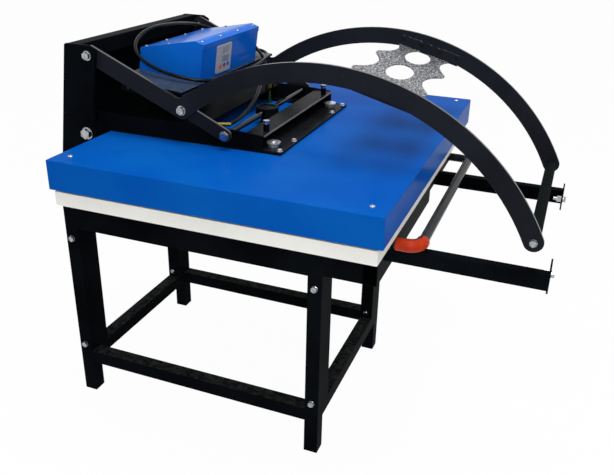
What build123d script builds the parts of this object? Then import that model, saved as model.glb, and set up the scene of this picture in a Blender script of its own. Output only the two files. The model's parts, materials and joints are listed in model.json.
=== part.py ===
"""A large format heat press with a slide-out bed.

Lengths are in millimetres. The operator stands on the -y side, +x is to the operator's
right and z is the height above the floor. The outlines below are drawn with y = 0 at the
middle of the heated platen; the finished parts are moved along y so that the origin lies
under the middle of the whole machine.
"""
import math
import os

from build123d import *

# Square tube stand
stand_width = 600.0
tube_size = 40.0
tube_wall = 2.5
tube_end_depth = 60.0
floor_to_beam = 575.0
beam_height = 72.0
top_bar_thickness = 8.0
lower_rail_height = 107.0
front_leg_y = -194.0
front_overhang = 162.0
rear_leg_gap = 136.0

# Bolts through the legs
leg_bolt_radius = 5.0
leg_bolt_low = 170.0
leg_bolt_drop = 42.0

# Sliding bed
runner_height = 40.0
runner_width = 25.0
runner_inset = 9.0
runner_wall = 3.0
runner_reach = 746.0
end_plate_thickness = 4.0
end_plate_height = 62.0
end_plate_drop = 7.0
end_plate_width = 59.0
stop_bolt_inset = 54.0
stop_bolt_rise = 22.0
stop_bolt_radius = 5.0
stop_bolt_length = 26.0
stop_nut_share = 2.4
roller_radius = 13.0
roller_width = 14.0
roller_side_gap = 2.0
roller_axle_radius = 5.0
roller_spread = 330.0
bracket_width = 36.0
bracket_thickness = 6.0
bracket_below_axle = 9.0
drawer_member_width = 30.0
drawer_member_height = 40.0
drawer_front_width = 700.0
drawer_above_axle = 2.7
drawer_front_rise = 5.0
bracket_gap = 4.0
bed_side_overhang = 8.0
bed_front_overhang = 7.0
bed_rear_overhang = 13.0
bed_thickness = 36.0
pad_thickness = 6.0
pad_margin = 8.0

# Pull handle of the bed
pull_radius = 12.0
pull_side_inset = 15.0
pull_reach = 60.0
pull_bend = 30.0
pull_drop = 23.0
guard_wall = 4.0
guard_side = 55.0
guard_front = 33.0

# Heated platen, around a stock 80 by 100 cm heater
cover_height = 75.0
cover_wall = 2.0
cover_edge_radius = 3.0
cover_rise = 1.7
heater_width = 1000.0
heater_depth = 800.0
heater_thickness = 20.0
cover_side_overhang = 18.0
cover_end_overhang = 20.0
cover_screw_radius = 3.0
cover_screw_inset_x = 43.0
cover_screw_inset_y = 40.0
cover_screw_grip = 66.0

# Side plates and the links and arms between them
plate_thickness = 8.0
arm_gap = 5.0
arm_thickness = 8.0
arm_width = 46.0
arm_radius = 575.0
arm_valley_radius = 25.0
arm_pivot_rise = 207.0
arm_pivot_back = 17.0
link_gap = 1.0
link_thickness = 8.0
link_width = 35.0
link_top_y = 178.0
link_top_rise = 92.0
link_foot_y = 64.0
link_foot_rise = 38.0
bar_y = -702.0
bar_drop = 27.0
bar_radius = 10.0
bar_bolt_radius = 5.0
bar_bolt_length = 36.0
grip_radius = 14.0
grip_end_gap = 6.0
pivot_radius = 6.0
hinge_radius = 8.0
hinge_back = 41.0
boss_radius = 22.0
eye_wall = 3.0
eye_shoulder = 8.0
plate_front_gap = 16.0
plate_head_width = 74.0
plate_nose = 19.0
plate_top_rise = 26.0
plate_lean = 71.0
foot_flange_width = 45.0
foot_flange_thickness = 8.0
plate_bolt_radius = 5.0
plate_bolt_length = 30.0
plate_bolt_inset = 28.0
plate_bolt_pitch = 42.0
plate_bolt_from_side = 14.0
plate_shoulder_rise = 71.0
plate_corner = 6.0
panel_thickness = 2.0
panel_inset = 5.0
head_beam_drop = 1.0
head_beam_inset = 2.0

# Carrier on top of the platen
carrier_gap = 12.0
carrier_wall = 6.0
carrier_height = 50.0
carrier_flange = 40.0
carrier_flange_end = 12.0
beam_top_height = 43.0
beam_front_y = -34.0
beam_rear_y = 22.0
beam_toe_y = -80.0
beam_wall = 4.0
mid_plate_front = 143.0
mid_plate_rear = 348.0
mid_plate_height = 43.0
mid_plate_thickness = 5.0
rod_radius = 7.5
hub_radius = 32.0
hub_height = 26.0
hub_rim = 9.0
hub_dish = 3.0
hub_neck_radius = 18.0
hub_x = -18.0
level_screw_inset = 42.0
level_screw_y = -20.0
level_screw_radius = 6.0
level_nut_height = 6.0
level_sleeve_radius = 8.0
level_sleeve_height = 20.0
level_cap_width = 15.0
level_cap_height = 8.0
flange_bolt_radius = 3.5
flange_bolt_from_toe = 9.0
flange_bolt_insets = (103.0, 9.0)
clamp_inset = 39.0
clamp_y = -41.0
clamp_radius = 6.0
clamp_nut_width = 24.0
clamp_nut_height = 9.0
clamp_disc_radius = 18.0
clamp_disc_thickness = 4.0
clamp_end = 3.0
stud_inset = 52.0
stud_y = 155.0
stud_radius = 7.0
stud_end = 22.0
stud_nut_share = 2.6

# Perforated plate between the arms
web_thickness = 3.0
web_bow_angle = 12.5
web_tilt = 2.9
web_drop = 6.6
web_hollow_pitch = 215.0
web_hollow_radius = 150.0
web_hollow_reach = 66.0
web_lobe_radius = 40.0
web_hole_pitch = 200.0
web_hole_half_width = 80.0
web_hole_half_length = 33.5
web_flange_height = 31.0
web_flange_front = -103.0
web_flange_rear = 77.0
web_screw_rise = 25.6
web_screw_start = -94.0
web_screw_pitch = 54.8
web_screw_radius = 3.0

# Shelf and control box
shelf_thickness = 6.0
shelf_behind_knee = 2.0
shelf_above_knee = 43.0
shelf_length = 196.0
shelf_slope = 5.8
shelf_flange = 30.0
shelf_flange_front = 60.0
shelf_flange_rear = 176.0
shelf_screw_drop = 18.0
shelf_screw_places = (85.0, 150.0)
box_left = -172.0
box_right = 166.0
box_setback = 7.5
box_depth = 184.5
box_front_height = 99.0
box_front_lean = 2.7
box_rear_height = 58.5
box_rear_lean = 4.0
box_wall = 2.0
lid_wall = 1.5
lid_lip = 11.0
lid_band_depth = 22.8
lid_band_rise = 5.6
box_screw_radius = 2.0
box_screw_inset = 17.0
box_screw_side_inset = 8.0
box_screw_rear_share = 0.96
controller_width = 80.0
controller_height = 75.0
controller_thickness = 5.0
controller_x = -52.0
window_width = 40.0
window_height = 17.0
button_radius = 5.5
button_travel = 1.2
button_proud = 1.5
button_length = 4.2

# Cables
cable_radius = 4.5
loop_rise = 140.0
gland_radius = 8.0
gland_length = 15.0
sleeve_length = 42.0
sleeve_radius = 6.5

# Bolt heads and washers, as shares of the shank's radius
washer_share = 0.4
washer_radius_share = 1.8
wide_washer_share = 2.1
head_share = 1.25
nut_share = 1.6
bolt_end_share = 2.2
hexagon_share = 3.1

# Clearances
running_gap = 0.06
slide_gap = 0.3
fit_gap = 0.1

# Heights from the floor up to the pivots
half_stand = stand_width / 2
beam_top = floor_to_beam + beam_height
runner_top = beam_top + runner_height
roller_z = runner_top + roller_radius + slide_gap
bed_bottom = roller_z + drawer_above_axle + drawer_member_height
bed_top = bed_bottom + bed_thickness
pad_top = bed_top + pad_thickness
heater_bottom = pad_top + slide_gap
heater_top = heater_bottom + heater_thickness
cover_bottom = heater_bottom + cover_rise
cover_top = cover_bottom + cover_height
drawer_bottom = bed_bottom - drawer_member_height

# The platen, the bed and its pull handle around the heater
platen_width = heater_width + 2 * cover_side_overhang
platen_depth = heater_depth + 2 * cover_end_overhang
bed_width = heater_width + 2 * bed_side_overhang
bed_front = heater_depth / 2 + bed_front_overhang
bed_rear = heater_depth / 2 + bed_rear_overhang
drawer_length = heater_depth
pull_width = drawer_front_width - 2 * pull_side_inset

# Depths from the platen out to the stand
rear_leg_y = platen_depth / 2 + rear_leg_gap
stand_front = front_leg_y - front_overhang
stand_rear = rear_leg_y + tube_size / 2

# Widths from the side plates inwards
plate_inner = half_stand - plate_thickness
arm_outer = plate_inner - arm_gap
arm_inner = arm_outer - arm_thickness
link_outer = arm_inner - link_gap
link_inner = link_outer - link_thickness
carrier_outer = link_inner - carrier_gap
carrier_inner = carrier_outer - carrier_wall
level_screw_x = carrier_inner - level_screw_inset
clamp_x = carrier_inner - clamp_inset
stud_x = carrier_inner - stud_inset
flange_bolt_xs = [carrier_inner - inset for inset in flange_bolt_insets]
runner_outer = half_stand - runner_inset
roller_outer = runner_outer - runner_wall - roller_side_gap

# Pivots, as (y, z)
arm_pivot = (platen_depth / 2 + arm_pivot_back, cover_top + arm_pivot_rise)
link_top = (link_top_y, cover_top + link_top_rise)
link_foot = (link_foot_y, cover_top + link_foot_rise)
platen_pivot = (platen_depth / 2 + hinge_back, cover_top)
bar_centre = (bar_y, pad_top - bar_drop)

# The rails end just ahead of the side plates
plate_front = platen_depth / 2 + plate_front_gap
runner_rear = plate_front - slide_gap

# The origin lies under the middle between the rear legs and the stop bolts' heads
stop_bolt_front = -runner_reach - end_plate_thickness - (washer_share + head_share) * stop_bolt_radius
middle_y = (stand_rear + stop_bolt_front) / 2


def block(x, y, z):
    """A block between two values on each axis."""
    centre = [(low + high) / 2 for low, high in (x, y, z)]
    size = [high - low for low, high in (x, y, z)]
    return Pos(*centre) * Box(*size)


def slab(face, x_low, x_high):
    """A side outline, drawn as (y, z), given its thickness along x."""
    return extrude(Plane.YZ.offset(x_low) * face, amount=x_high - x_low)


def outline(*points):
    """A flat face with straight edges through points."""
    return make_face(Polyline(*points, close=True).edges())


def right_rod(radius, centre, x_low, x_high):
    """A round rod along x at the (y, z) point centre."""
    return slab(Pos(*centre) * Circle(radius), x_low, x_high)


def post(radius, x, y, z_low, z_high):
    """A round post along z."""
    return Pos(x, y, z_low) * extrude(Circle(radius), amount=z_high - z_low)


def mirrored(shape):
    """The same shape on the other side of the machine."""
    return mirror(shape, about=Plane.YZ)


def pair(shape):
    """A right-hand shape with its left-hand twin."""
    return [shape, mirrored(shape)]


def hexagon(across_flats):
    """A hexagon face by its width across the flats."""
    return RegularPolygon(across_flats / 2, 6, major_radius=False)


def bolt(shank, length, washer=washer_radius_share):
    """A hexagon bolt with its washer on z = 0 and its shank below."""
    seat = washer_share * shank
    body = Pos(0, 0, -length) * extrude(Circle(shank), amount=length)
    body += extrude(Circle(washer * shank), amount=seat)
    return body + Pos(0, 0, seat) * extrude(hexagon(hexagon_share * shank), amount=head_share * shank)


def nut(shank, height=nut_share):
    """A hexagon nut that fits the shank, standing on z = 0; its height is a share too."""
    ring = hexagon(hexagon_share * shank) - Circle(shank + running_gap)
    return extrude(ring, amount=height * shank)


def pan_screw(shank, length):
    """A small screw with a round head on z = 0 and its shank below."""
    head = extrude(Circle(2.0 * shank), amount=1.1 * shank)
    head = chamfer(head.edges().group_by(Axis.Z)[-1], 0.4 * shank)
    return head + Pos(0, 0, -length) * extrude(Circle(shank), amount=length)


def facing(direction, point):
    """A place at point whose z axis looks along direction."""
    return Plane(origin=point, z_dir=direction).location


def table_top_frame():
    """The welded rectangle of upright rectangular tube under the runners."""
    z = (floor_to_beam, beam_top)
    inner = half_stand - tube_size
    frame = block((-half_stand, half_stand), (stand_front, stand_front + tube_size), z)
    frame += block((-half_stand, half_stand), (stand_rear - tube_size, stand_rear), z)
    frame += block((-inner, inner), (-tube_size / 2, tube_size / 2), z)
    for side in (-1, 1):
        x = sorted((side * inner, side * half_stand))
        frame += block(x, (stand_front, stand_rear), z)
    mouth_y = (stand_front + tube_wall, stand_front + tube_size - tube_wall)
    mouth_z = (floor_to_beam + tube_wall, beam_top - tube_wall)
    mouth = block((half_stand - tube_end_depth, half_stand + 1), mouth_y, mouth_z)
    return frame - mouth - mirrored(mouth)


def leg_holes(x_low, x_high):
    """The bolt holes across a front and a rear leg."""
    heights = (leg_bolt_low, floor_to_beam - leg_bolt_drop)
    return [
        right_rod(leg_bolt_radius + fit_gap, (y, z), x_low, x_high)
        for y in (front_leg_y, rear_leg_y)
        for z in heights
    ]


def right_leg_frame():
    """Two legs with the low rail and the flat top bar that join them."""
    x = (half_stand - tube_size, half_stand)
    half = tube_size / 2
    top_z = floor_to_beam - top_bar_thickness
    frame = block(x, (front_leg_y, rear_leg_y), (top_z, floor_to_beam))
    low_rail = (lower_rail_height, lower_rail_height + tube_size)
    frame += block(x, (front_leg_y, rear_leg_y), low_rail)
    for y in (front_leg_y, rear_leg_y):
        frame += block(x, (y - half, y + half), (0, floor_to_beam))
    return frame - leg_holes(x[0] - 1, x[1] + 1)


def leg_brace(y):
    """The H between two legs: two uprights and a low cross rail."""
    outer = half_stand - tube_size
    inner = outer - tube_size
    span_y = (y - tube_size / 2, y + tube_size / 2)
    low_rail = (lower_rail_height, lower_rail_height + tube_size)
    brace = block((-outer, outer), span_y, low_rail)
    for side in (-1, 1):
        x = sorted((side * inner, side * outer))
        brace += block(x, span_y, (lower_rail_height, floor_to_beam))
    holes = leg_holes(inner - 1, outer + 1)
    return brace - holes - [mirrored(hole) for hole in holes]


def leg_bolts():
    """Bolts with nuts that hold each brace to its legs."""
    grip = 2 * tube_size
    pieces = []
    for y in (front_leg_y, rear_leg_y):
        for z in (leg_bolt_low, floor_to_beam - leg_bolt_drop):
            head = facing((1, 0, 0), (half_stand, y, z))
            inner_end = facing((-1, 0, 0), (half_stand - grip, y, z))
            pieces += pair(head * bolt(leg_bolt_radius, grip + bolt_end_share * leg_bolt_radius))
            pieces += pair(inner_end * nut(leg_bolt_radius))
    return pieces


def plate_bolt_places():
    """The (y) places of the bolts through each side plate's foot."""
    return [stand_rear - plate_bolt_inset - step * plate_bolt_pitch for step in range(3)]


def right_side_plate():
    """A tall leaning plate with a foot flange, the anchor of both pivots."""
    front_y = plate_front
    top_z = arm_pivot[1] + plate_top_rise
    knee_y = stand_rear - plate_lean - plate_head_width
    face = outline(
        (stand_rear, beam_top),
        (stand_rear - plate_lean, top_z),
        (knee_y, top_z),
        (knee_y - plate_nose, top_z - plate_nose / 2),
        (front_y, cover_top + plate_shoulder_rise),
        (front_y, beam_top),
    )
    corners = face.vertices().filter_by(lambda v: v.Y > cover_top + plate_shoulder_rise + 1)
    face = fillet(corners, plate_corner)
    plate = slab(face, plate_inner, half_stand)
    flange_y = (front_y, stand_rear)
    flange_x = (half_stand - foot_flange_width, half_stand)
    plate += block(flange_x, flange_y, (beam_top, beam_top + foot_flange_thickness))
    plate -= right_rod(pivot_radius + fit_gap, arm_pivot, 0, half_stand + 1)
    return plate - right_rod(hinge_radius + fit_gap, platen_pivot, 0, half_stand + 1)


def side_plate_bolts():
    """Bolts down through the foot flanges, with their heads on top."""
    pieces = []
    x = plate_inner - plate_bolt_from_side
    for y in plate_bolt_places():
        place = Pos(x, y, beam_top + foot_flange_thickness)
        pieces += pair(place * bolt(plate_bolt_radius, plate_bolt_length))
    return pieces


def bolt_clearances():
    """The holes that the foot bolts need in the flange and the beam."""
    x = plate_inner - plate_bolt_from_side
    top = beam_top + foot_flange_thickness
    low = top - plate_bolt_length - plate_bolt_radius
    holes = []
    for y in plate_bolt_places():
        holes += pair(post(plate_bolt_radius + fit_gap, x, y, low, top + 1))
    return holes


def rear_top_beam():
    """The square tube that ties the heads of the side plates."""
    top_z = arm_pivot[1] + plate_top_rise - head_beam_drop
    rear_y = stand_rear - plate_lean - head_beam_inset
    y = (rear_y - tube_size, rear_y)
    return block((-plate_inner, plate_inner), y, (top_z - tube_size, top_z))


def rear_panel():
    """The sheet that closes the back between the side plates."""
    top_z = arm_pivot[1] + plate_top_rise - head_beam_drop - tube_size
    lean = plate_lean / (arm_pivot[1] + plate_top_rise - beam_top)
    low = stand_rear - panel_inset
    high = low - lean * (top_z - beam_top)
    face = outline(
        (low, beam_top + foot_flange_thickness),
        (high, top_z),
        (high - panel_thickness, top_z),
        (low - panel_thickness, beam_top + foot_flange_thickness),
    )
    return slab(face, -plate_inner, plate_inner)


def right_runner_rail():
    """A channel, open to the middle, with a turned-in plate on its front end."""
    x = (runner_outer - runner_width, runner_outer)
    rail = block(x, (-runner_reach, runner_rear), (beam_top, runner_top))
    hollow_z = (beam_top + runner_wall, runner_top - runner_wall)
    rail -= block((x[0] - 1, x[1] - runner_wall), (-runner_reach - 1, runner_rear + 1), hollow_z)
    front = -runner_reach - end_plate_thickness
    plate_z = (beam_top - end_plate_drop, beam_top - end_plate_drop + end_plate_height)
    rail += block((runner_outer - end_plate_width, runner_outer), (front, -runner_reach), plate_z)
    hole = facing((0, -1, 0), (half_stand - stop_bolt_inset, front - 1, beam_top + stop_bolt_rise))
    hole *= Pos(0, 0, -8) * extrude(Circle(stop_bolt_radius + fit_gap), amount=8)
    return rail - hole


def stop_bolts():
    """The bumper bolts in the end plates, each held by a nut behind the plate."""
    front = -runner_reach - end_plate_thickness
    x = half_stand - stop_bolt_inset
    z = beam_top + stop_bolt_rise
    pieces = pair(facing((0, -1, 0), (x, front, z)) * bolt(stop_bolt_radius, stop_bolt_length))
    pieces += pair(facing((0, 1, 0), (x, -runner_reach, z)) * nut(stop_bolt_radius, stop_nut_share))
    return pieces


def pivot_bolts(centre, shank, inner_x):
    """Shouldered bolts through the side plates, with nuts on their inner ends."""
    y, z = centre
    length = half_stand - inner_x + bolt_end_share * shank
    pieces = pair(facing((1, 0, 0), (half_stand, y, z)) * bolt(shank, length, wide_washer_share))
    pieces += pair(facing((-1, 0, 0), (inner_x - slide_gap, y, z)) * nut(shank))
    return pieces


def arm_face():
    """The side outline of an arm: a straight root and a long bow, both of one width."""
    start_y, start_z = arm_pivot
    knee_y, knee_z = link_top
    length = math.dist(arm_pivot, link_top)
    slant = math.degrees(math.atan2(knee_z - start_z, knee_y - start_y))
    root = Pos((start_y + knee_y) / 2, (start_z + knee_z) / 2)
    root *= SlotCenterToCenter(length, arm_width, rotation=slant)
    centre = bow_centre()
    start = math.degrees(math.atan2(knee_z - centre[1], knee_y - centre[0]))
    end = math.degrees(math.atan2(bar_centre[1] - centre[1], bar_centre[0] - centre[0]))
    bow = SlotArc(CenterArc(centre, arm_radius, start, end - start), arm_width)
    face = root + bow
    valley = (knee_y, knee_z + arm_width)
    corner = face.vertices().sort_by_distance((*valley, 0))[0]
    return fillet(corner, arm_valley_radius)


def bow_centre():
    """The centre of the arm's bow, at arm_radius from the knee and from the bar."""
    knee_y, knee_z = link_top
    half = math.dist(link_top, bar_centre) / 2
    rise = math.sqrt(arm_radius**2 - half**2)
    along_y = (knee_y - bar_centre[0]) / (2 * half)
    along_z = (knee_z - bar_centre[1]) / (2 * half)
    middle_of_chord = ((knee_y + bar_centre[0]) / 2, (knee_z + bar_centre[1]) / 2)
    return (middle_of_chord[0] + along_z * rise, middle_of_chord[1] - along_y * rise)


def right_arm():
    """A flat bowed arm with its pivot, link, bar and plate screw holes."""
    arm = slab(arm_face(), arm_inner, arm_outer)
    for centre, radius in ((arm_pivot, pivot_radius), (link_top, pivot_radius)):
        arm -= right_rod(radius + running_gap, centre, 0, half_stand)
    arm -= right_rod(bar_bolt_radius + fit_gap, bar_centre, 0, half_stand)
    for y, z in web_screw_centres():
        arm -= right_rod(web_screw_radius + fit_gap, (y, z), 0, half_stand)
    for y, z in shelf_screw_centres():
        arm -= right_rod(web_screw_radius + fit_gap, (y, z), 0, half_stand)
    return arm


def handle_bar():
    """The round bar between the ends of the arms, tapped at both ends."""
    bar = right_rod(bar_radius, bar_centre, -arm_inner, arm_inner)
    thread_end = arm_outer - bar_bolt_length - bar_bolt_radius
    tapped = right_rod(bar_bolt_radius + fit_gap, bar_centre, thread_end, arm_inner + 1)
    return bar - tapped - mirrored(tapped)


def handle_grip():
    """The foam sleeve on the bar."""
    reach = arm_inner - grip_end_gap
    sleeve = right_rod(grip_radius, bar_centre, -reach, reach)
    sleeve -= right_rod(bar_radius + fit_gap, bar_centre, -reach - 1, reach + 1)
    return sleeve


def handle_end_bolts():
    """The bolts that hold the bar between the arms."""
    y, z = bar_centre
    return pair(facing((1, 0, 0), (arm_outer, y, z)) * bolt(bar_bolt_radius, bar_bolt_length))


def web_slope():
    """The slope of the perforated plate, up to the rear, in radians."""
    return math.radians(web_bow_angle + web_tilt)


def web_plane():
    """The plate's underside, just below the arms' bow; its y axis runs up to the rear."""
    centre_y, centre_z = bow_centre()
    reach = arm_radius - arm_width / 2 - web_drop
    angle = math.radians(web_bow_angle)
    origin = (0, centre_y - reach * math.sin(angle), centre_z + reach * math.cos(angle))
    normal = (0, -math.sin(web_slope()), math.cos(web_slope()))
    return Plane(origin=origin, x_dir=(1, 0, 0), z_dir=normal)


def web_screw_centres():
    """The (y, z) centres of the screws through the plate's side flanges."""
    centres = []
    for step in range(4):
        along = web_screw_start + step * web_screw_pitch
        centre = web_plane().from_local_coords(Vector(0, along, web_screw_rise))
        centres.append((centre.Y, centre.Z))
    return centres


def scalloped_plate():
    """The plate with three long holes and scalloped edges, with raised side flanges."""
    hollow_y = web_hollow_reach + web_hollow_radius
    face = Rectangle(2 * arm_inner, 2 * hollow_y)
    columns = (-1, 0, 1)
    for column in columns:
        for side in (-1, 1):
            face -= Pos(column * web_hollow_pitch, side * hollow_y) * Circle(web_hollow_radius)
    lobes = face.vertices().filter_by(lambda v: abs(v.X) < arm_inner - 1)
    face = fillet(lobes, web_lobe_radius)
    for column in columns:
        face -= Pos(column * web_hole_pitch, 0) * Ellipse(web_hole_half_width, web_hole_half_length)
    plate = extrude(web_plane() * face, amount=web_thickness)
    flange_y = (web_flange_front, web_flange_rear)
    flange = block((arm_inner - web_thickness, arm_inner), flange_y, (0, web_flange_height))
    flange = web_plane().location * flange
    for y, z in web_screw_centres():
        flange -= right_rod(web_screw_radius + fit_gap, (y, z), 0, half_stand)
    return plate + pair(flange)


def plate_screws():
    """Screws through the plate's flanges into the arms, with heads inside."""
    pieces = []
    for y, z in web_screw_centres():
        place = facing((-1, 0, 0), (arm_inner - web_thickness, y, z))
        pieces += pair(place * pan_screw(web_screw_radius, web_thickness + arm_thickness))
    return pieces


def shelf_plane():
    """The top of the shelf at its front edge; its y axis runs to the rear."""
    tilt = math.radians(shelf_slope)
    normal = (0, -math.sin(tilt), math.cos(tilt))
    origin = (0, link_top[0] + shelf_behind_knee, link_top[1] + shelf_above_knee)
    return Plane(origin=origin, x_dir=(1, 0, 0), z_dir=normal)


def shelf_screw_centres():
    """The (y, z) centres of the screws through the shelf's side flanges."""
    centres = []
    for along in shelf_screw_places:
        centre = shelf_plane().from_local_coords(Vector(0, along, -shelf_screw_drop))
        centres.append((centre.Y, centre.Z))
    return centres


def control_shelf():
    """The sloping shelf between the arms, with side flanges turned down."""
    shelf = block((-arm_inner, arm_inner), (0, shelf_length), (-shelf_thickness, 0))
    flange_x = (arm_inner - shelf_thickness / 2, arm_inner)
    flange = block(flange_x, (shelf_flange_front, shelf_flange_rear), (-shelf_flange, 0))
    shelf = shelf_plane().location * (shelf + pair(flange))
    for y, z in shelf_screw_centres():
        shelf -= right_rod(web_screw_radius + fit_gap, (y, z), -half_stand, half_stand)
    return shelf


def shelf_screws():
    """Screws through the shelf's flanges into the arms, with heads inside."""
    pieces = []
    for y, z in shelf_screw_centres():
        place = facing((-1, 0, 0), (arm_inner - shelf_thickness / 2, y, z))
        length = shelf_thickness / 2 + arm_thickness
        pieces += pair(place * pan_screw(web_screw_radius, length))
    return pieces


def lid_corners():
    """The lid's front edge, ridge and rear edge in the shelf plane's own y and z."""
    front = (box_setback - box_front_lean, box_front_height)
    ridge = (front[0] + lid_band_depth, front[1] + lid_band_rise)
    rear = (box_setback + box_depth - box_rear_lean, box_rear_height)
    return front, ridge, rear


def box_profile():
    """The side outline of the control box, in the shelf plane's own y and z."""
    front, ridge, rear = lid_corners()
    return outline(
        (box_setback, 0),
        (box_setback + box_depth, 0),
        rear,
        ridge,
        front,
    )


def on_shelf(shape):
    """Moves a shape drawn on the shelf's own plane to the shelf."""
    return shelf_plane().location * shape


def control_box_body():
    """The sheet metal case, open at its top and hollow."""
    shell = slab(box_profile(), box_left, box_right)
    hollow = slab(offset(box_profile(), amount=-box_wall), box_left + box_wall, box_right - box_wall)
    case = shell - hollow
    front, ridge, rear = lid_corners()
    run, rise = rear[0] - ridge[0], rear[1] - ridge[1]
    length = math.hypot(run, rise)
    mouth = Plane(
        origin=((box_left + box_right) / 2, *ridge),
        x_dir=(1, 0, 0),
        z_dir=(0, -rise / length, run / length),
    )
    width = box_right - box_left - 2 * lid_lip
    opening = Pos(0, length / 2, 0) * Box(width, length - 2 * lid_lip, 4 * box_wall)
    return on_shelf(case - mouth.location * opening)


def control_box_lid():
    """The lid: a level band along the front, a sloping top and a lip at each end."""
    grown = offset(box_profile(), amount=lid_wall, kind=Kind.INTERSECTION)
    outer = slab(grown, box_left, box_right)
    core = slab(box_profile(), box_left - 1, box_right + 1)
    cap = outer - core
    front, ridge, rear = lid_corners()
    past = 4 * lid_wall
    front_lip = (front[0] - past, front[1] - lid_lip)
    rear_lip = (rear[0] + past, rear[1] - lid_lip)
    below = outline(front_lip, rear_lip, (rear_lip[0], -past), (front_lip[0], -past))
    cap -= slab(below, box_left - past, box_right + past)
    return on_shelf(cap)


def lid_place(x, start, end, share):
    """A place on the lid, a share of the way along its outline from start to end."""
    run, rise = end[0] - start[0], end[1] - start[1]
    length = math.hypot(run, rise)
    normal = (0, -rise / length, run / length)
    y = start[0] + share * run + lid_wall * normal[1]
    z = start[1] + share * rise + lid_wall * normal[2]
    return Plane(origin=(x, y, z), x_dir=(1, 0, 0), z_dir=normal).location


def box_screw_places():
    """Four places along the band, four along the rear edge and one at each side."""
    front, ridge, rear = lid_corners()
    middle = (box_left + box_right) / 2
    half = (box_right - box_left) / 2
    places = []
    for step in (-1, -1 / 3, 1 / 3, 1):
        x = middle + step * (half - box_screw_inset)
        places.append(lid_place(x, front, ridge, 0.5))
        places.append(lid_place(x, ridge, rear, box_screw_rear_share))
    for side in (-1, 1):
        x = middle + side * (half - box_screw_side_inset)
        places.append(lid_place(x, ridge, rear, 0.5))
    return places


def box_screws():
    """The screws through the lid."""
    return [on_shelf(place * pan_screw(box_screw_radius, lid_wall)) for place in box_screw_places()]


def screw_clearances():
    """The holes of the lid screws."""
    hole = Pos(0, 0, -lid_wall) * extrude(Circle(box_screw_radius + fit_gap), amount=lid_wall)
    return [on_shelf(place * hole) for place in box_screw_places()]


def controller_plane():
    """The middle of the controller's back on the box's leaning front."""
    length = math.hypot(box_front_lean, box_front_height)
    up = (0, -box_front_lean / length, box_front_height / length)
    normal = (0, -up[2], up[1])
    rise = box_front_height / 2 - 3.0
    origin = (controller_x, box_setback + up[1] * rise, up[2] * rise)
    return Plane(origin=origin, x_dir=(1, 0, 0), z_dir=normal)


def button_places():
    """The buttons' middles on the controller's face, by name."""
    row = -controller_height / 2 + 19.0
    pitch = 0.26 * controller_width
    return {
        "button_red": (-pitch, row),
        "button_up": (0.1 * pitch, row),
        "button_down": (1.1 * pitch, row),
    }


def window_places():
    """The middles of the two display windows on the controller's face."""
    x = 0.09 * controller_width
    return [(x, 0.30 * controller_height), (x, -0.02 * controller_height)]


def controller_panel():
    """The controller's bezel with pockets for its windows and buttons."""
    panel = extrude(RectangleRounded(controller_width, controller_height, 2.5), amount=controller_thickness)
    for x, y in window_places():
        panel -= Pos(x, y, controller_thickness - 1.2) * extrude(Rectangle(window_width, window_height), amount=2)
    floor = controller_thickness + button_proud - button_length - button_travel
    for x, y in button_places().values():
        panel -= Pos(x, y, floor) * extrude(Circle(button_radius + slide_gap), amount=10)
    return on_shelf(controller_plane().location * panel)


def display_windows():
    """The two windows, set a little below the bezel."""
    panes = []
    for x, y in window_places():
        face = Rectangle(window_width - 2 * fit_gap, window_height - 2 * fit_gap)
        pane = Pos(x, y, controller_thickness - 1.2) * extrude(face, amount=0.9)
        panes.append(on_shelf(controller_plane().location * pane))
    return panes


def button(name):
    """A round push button that stands out of the bezel by its travel and a little more."""
    x, y = button_places()[name]
    floor = controller_thickness + button_proud - button_length
    cap = extrude(Circle(button_radius), amount=button_length)
    cap = chamfer(cap.edges().group_by(Axis.Z)[-1], 0.5)
    return on_shelf(controller_plane().location * Pos(x, y, floor) * cap)


def right_link():
    """The flat link from an arm down to the carrier."""
    length = math.dist(link_top, link_foot)
    slant = math.degrees(math.atan2(link_foot[1] - link_top[1], link_foot[0] - link_top[0]))
    centre = ((link_top[0] + link_foot[0]) / 2, (link_top[1] + link_foot[1]) / 2)
    face = Pos(*centre) * SlotCenterToCenter(length, link_width, rotation=slant)
    link = slab(face, link_inner, link_outer)
    for pivot in (link_top, link_foot):
        link -= right_rod(pivot_radius + running_gap, pivot, 0, half_stand)
    return link


def link_bolts(centre, outer_x, inner_x):
    """Bolts with washers through a link's end and what it turns on."""
    y, z = centre
    place = facing((1, 0, 0), (outer_x, y, z))
    return pair(place * bolt(pivot_radius, outer_x - inner_x, wide_washer_share))


def link_nuts():
    """The nuts on the bolts at the top of the links."""
    y, z = link_top
    return pair(facing((-1, 0, 0), (link_inner - slide_gap, y, z)) * nut(pivot_radius))


def right_carrier_rail():
    """A deep angle along the platen with the hinge eye at its rear end."""
    rise = cover_top + carrier_height
    rear_y, rear_z = platen_pivot
    face = outline(
        (beam_toe_y, cover_top),
        (beam_toe_y, cover_top + carrier_wall),
        (beam_front_y, cover_top + beam_top_height),
        (link_foot_y, rise),
        (rear_y - 2 * eye_wall, rise),
        (rear_y + boss_radius + eye_wall, rear_z + eye_shoulder),
        (rear_y + boss_radius, cover_top),
    )
    face += Pos(rear_y, rear_z) * Circle(boss_radius + eye_wall)
    rail = slab(face, carrier_inner, carrier_outer)
    flange_x = (carrier_outer - carrier_flange, carrier_outer)
    rail += block(flange_x, (beam_rear_y, platen_depth / 2 - carrier_flange_end), (cover_top, cover_top + carrier_wall))
    rail += right_rod(boss_radius, platen_pivot, carrier_outer - 1, plate_inner - slide_gap)
    rail -= right_rod(hinge_radius + running_gap, platen_pivot, 0, half_stand)
    return rail - right_rod(rod_radius + fit_gap, link_foot, 0, half_stand)


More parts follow.
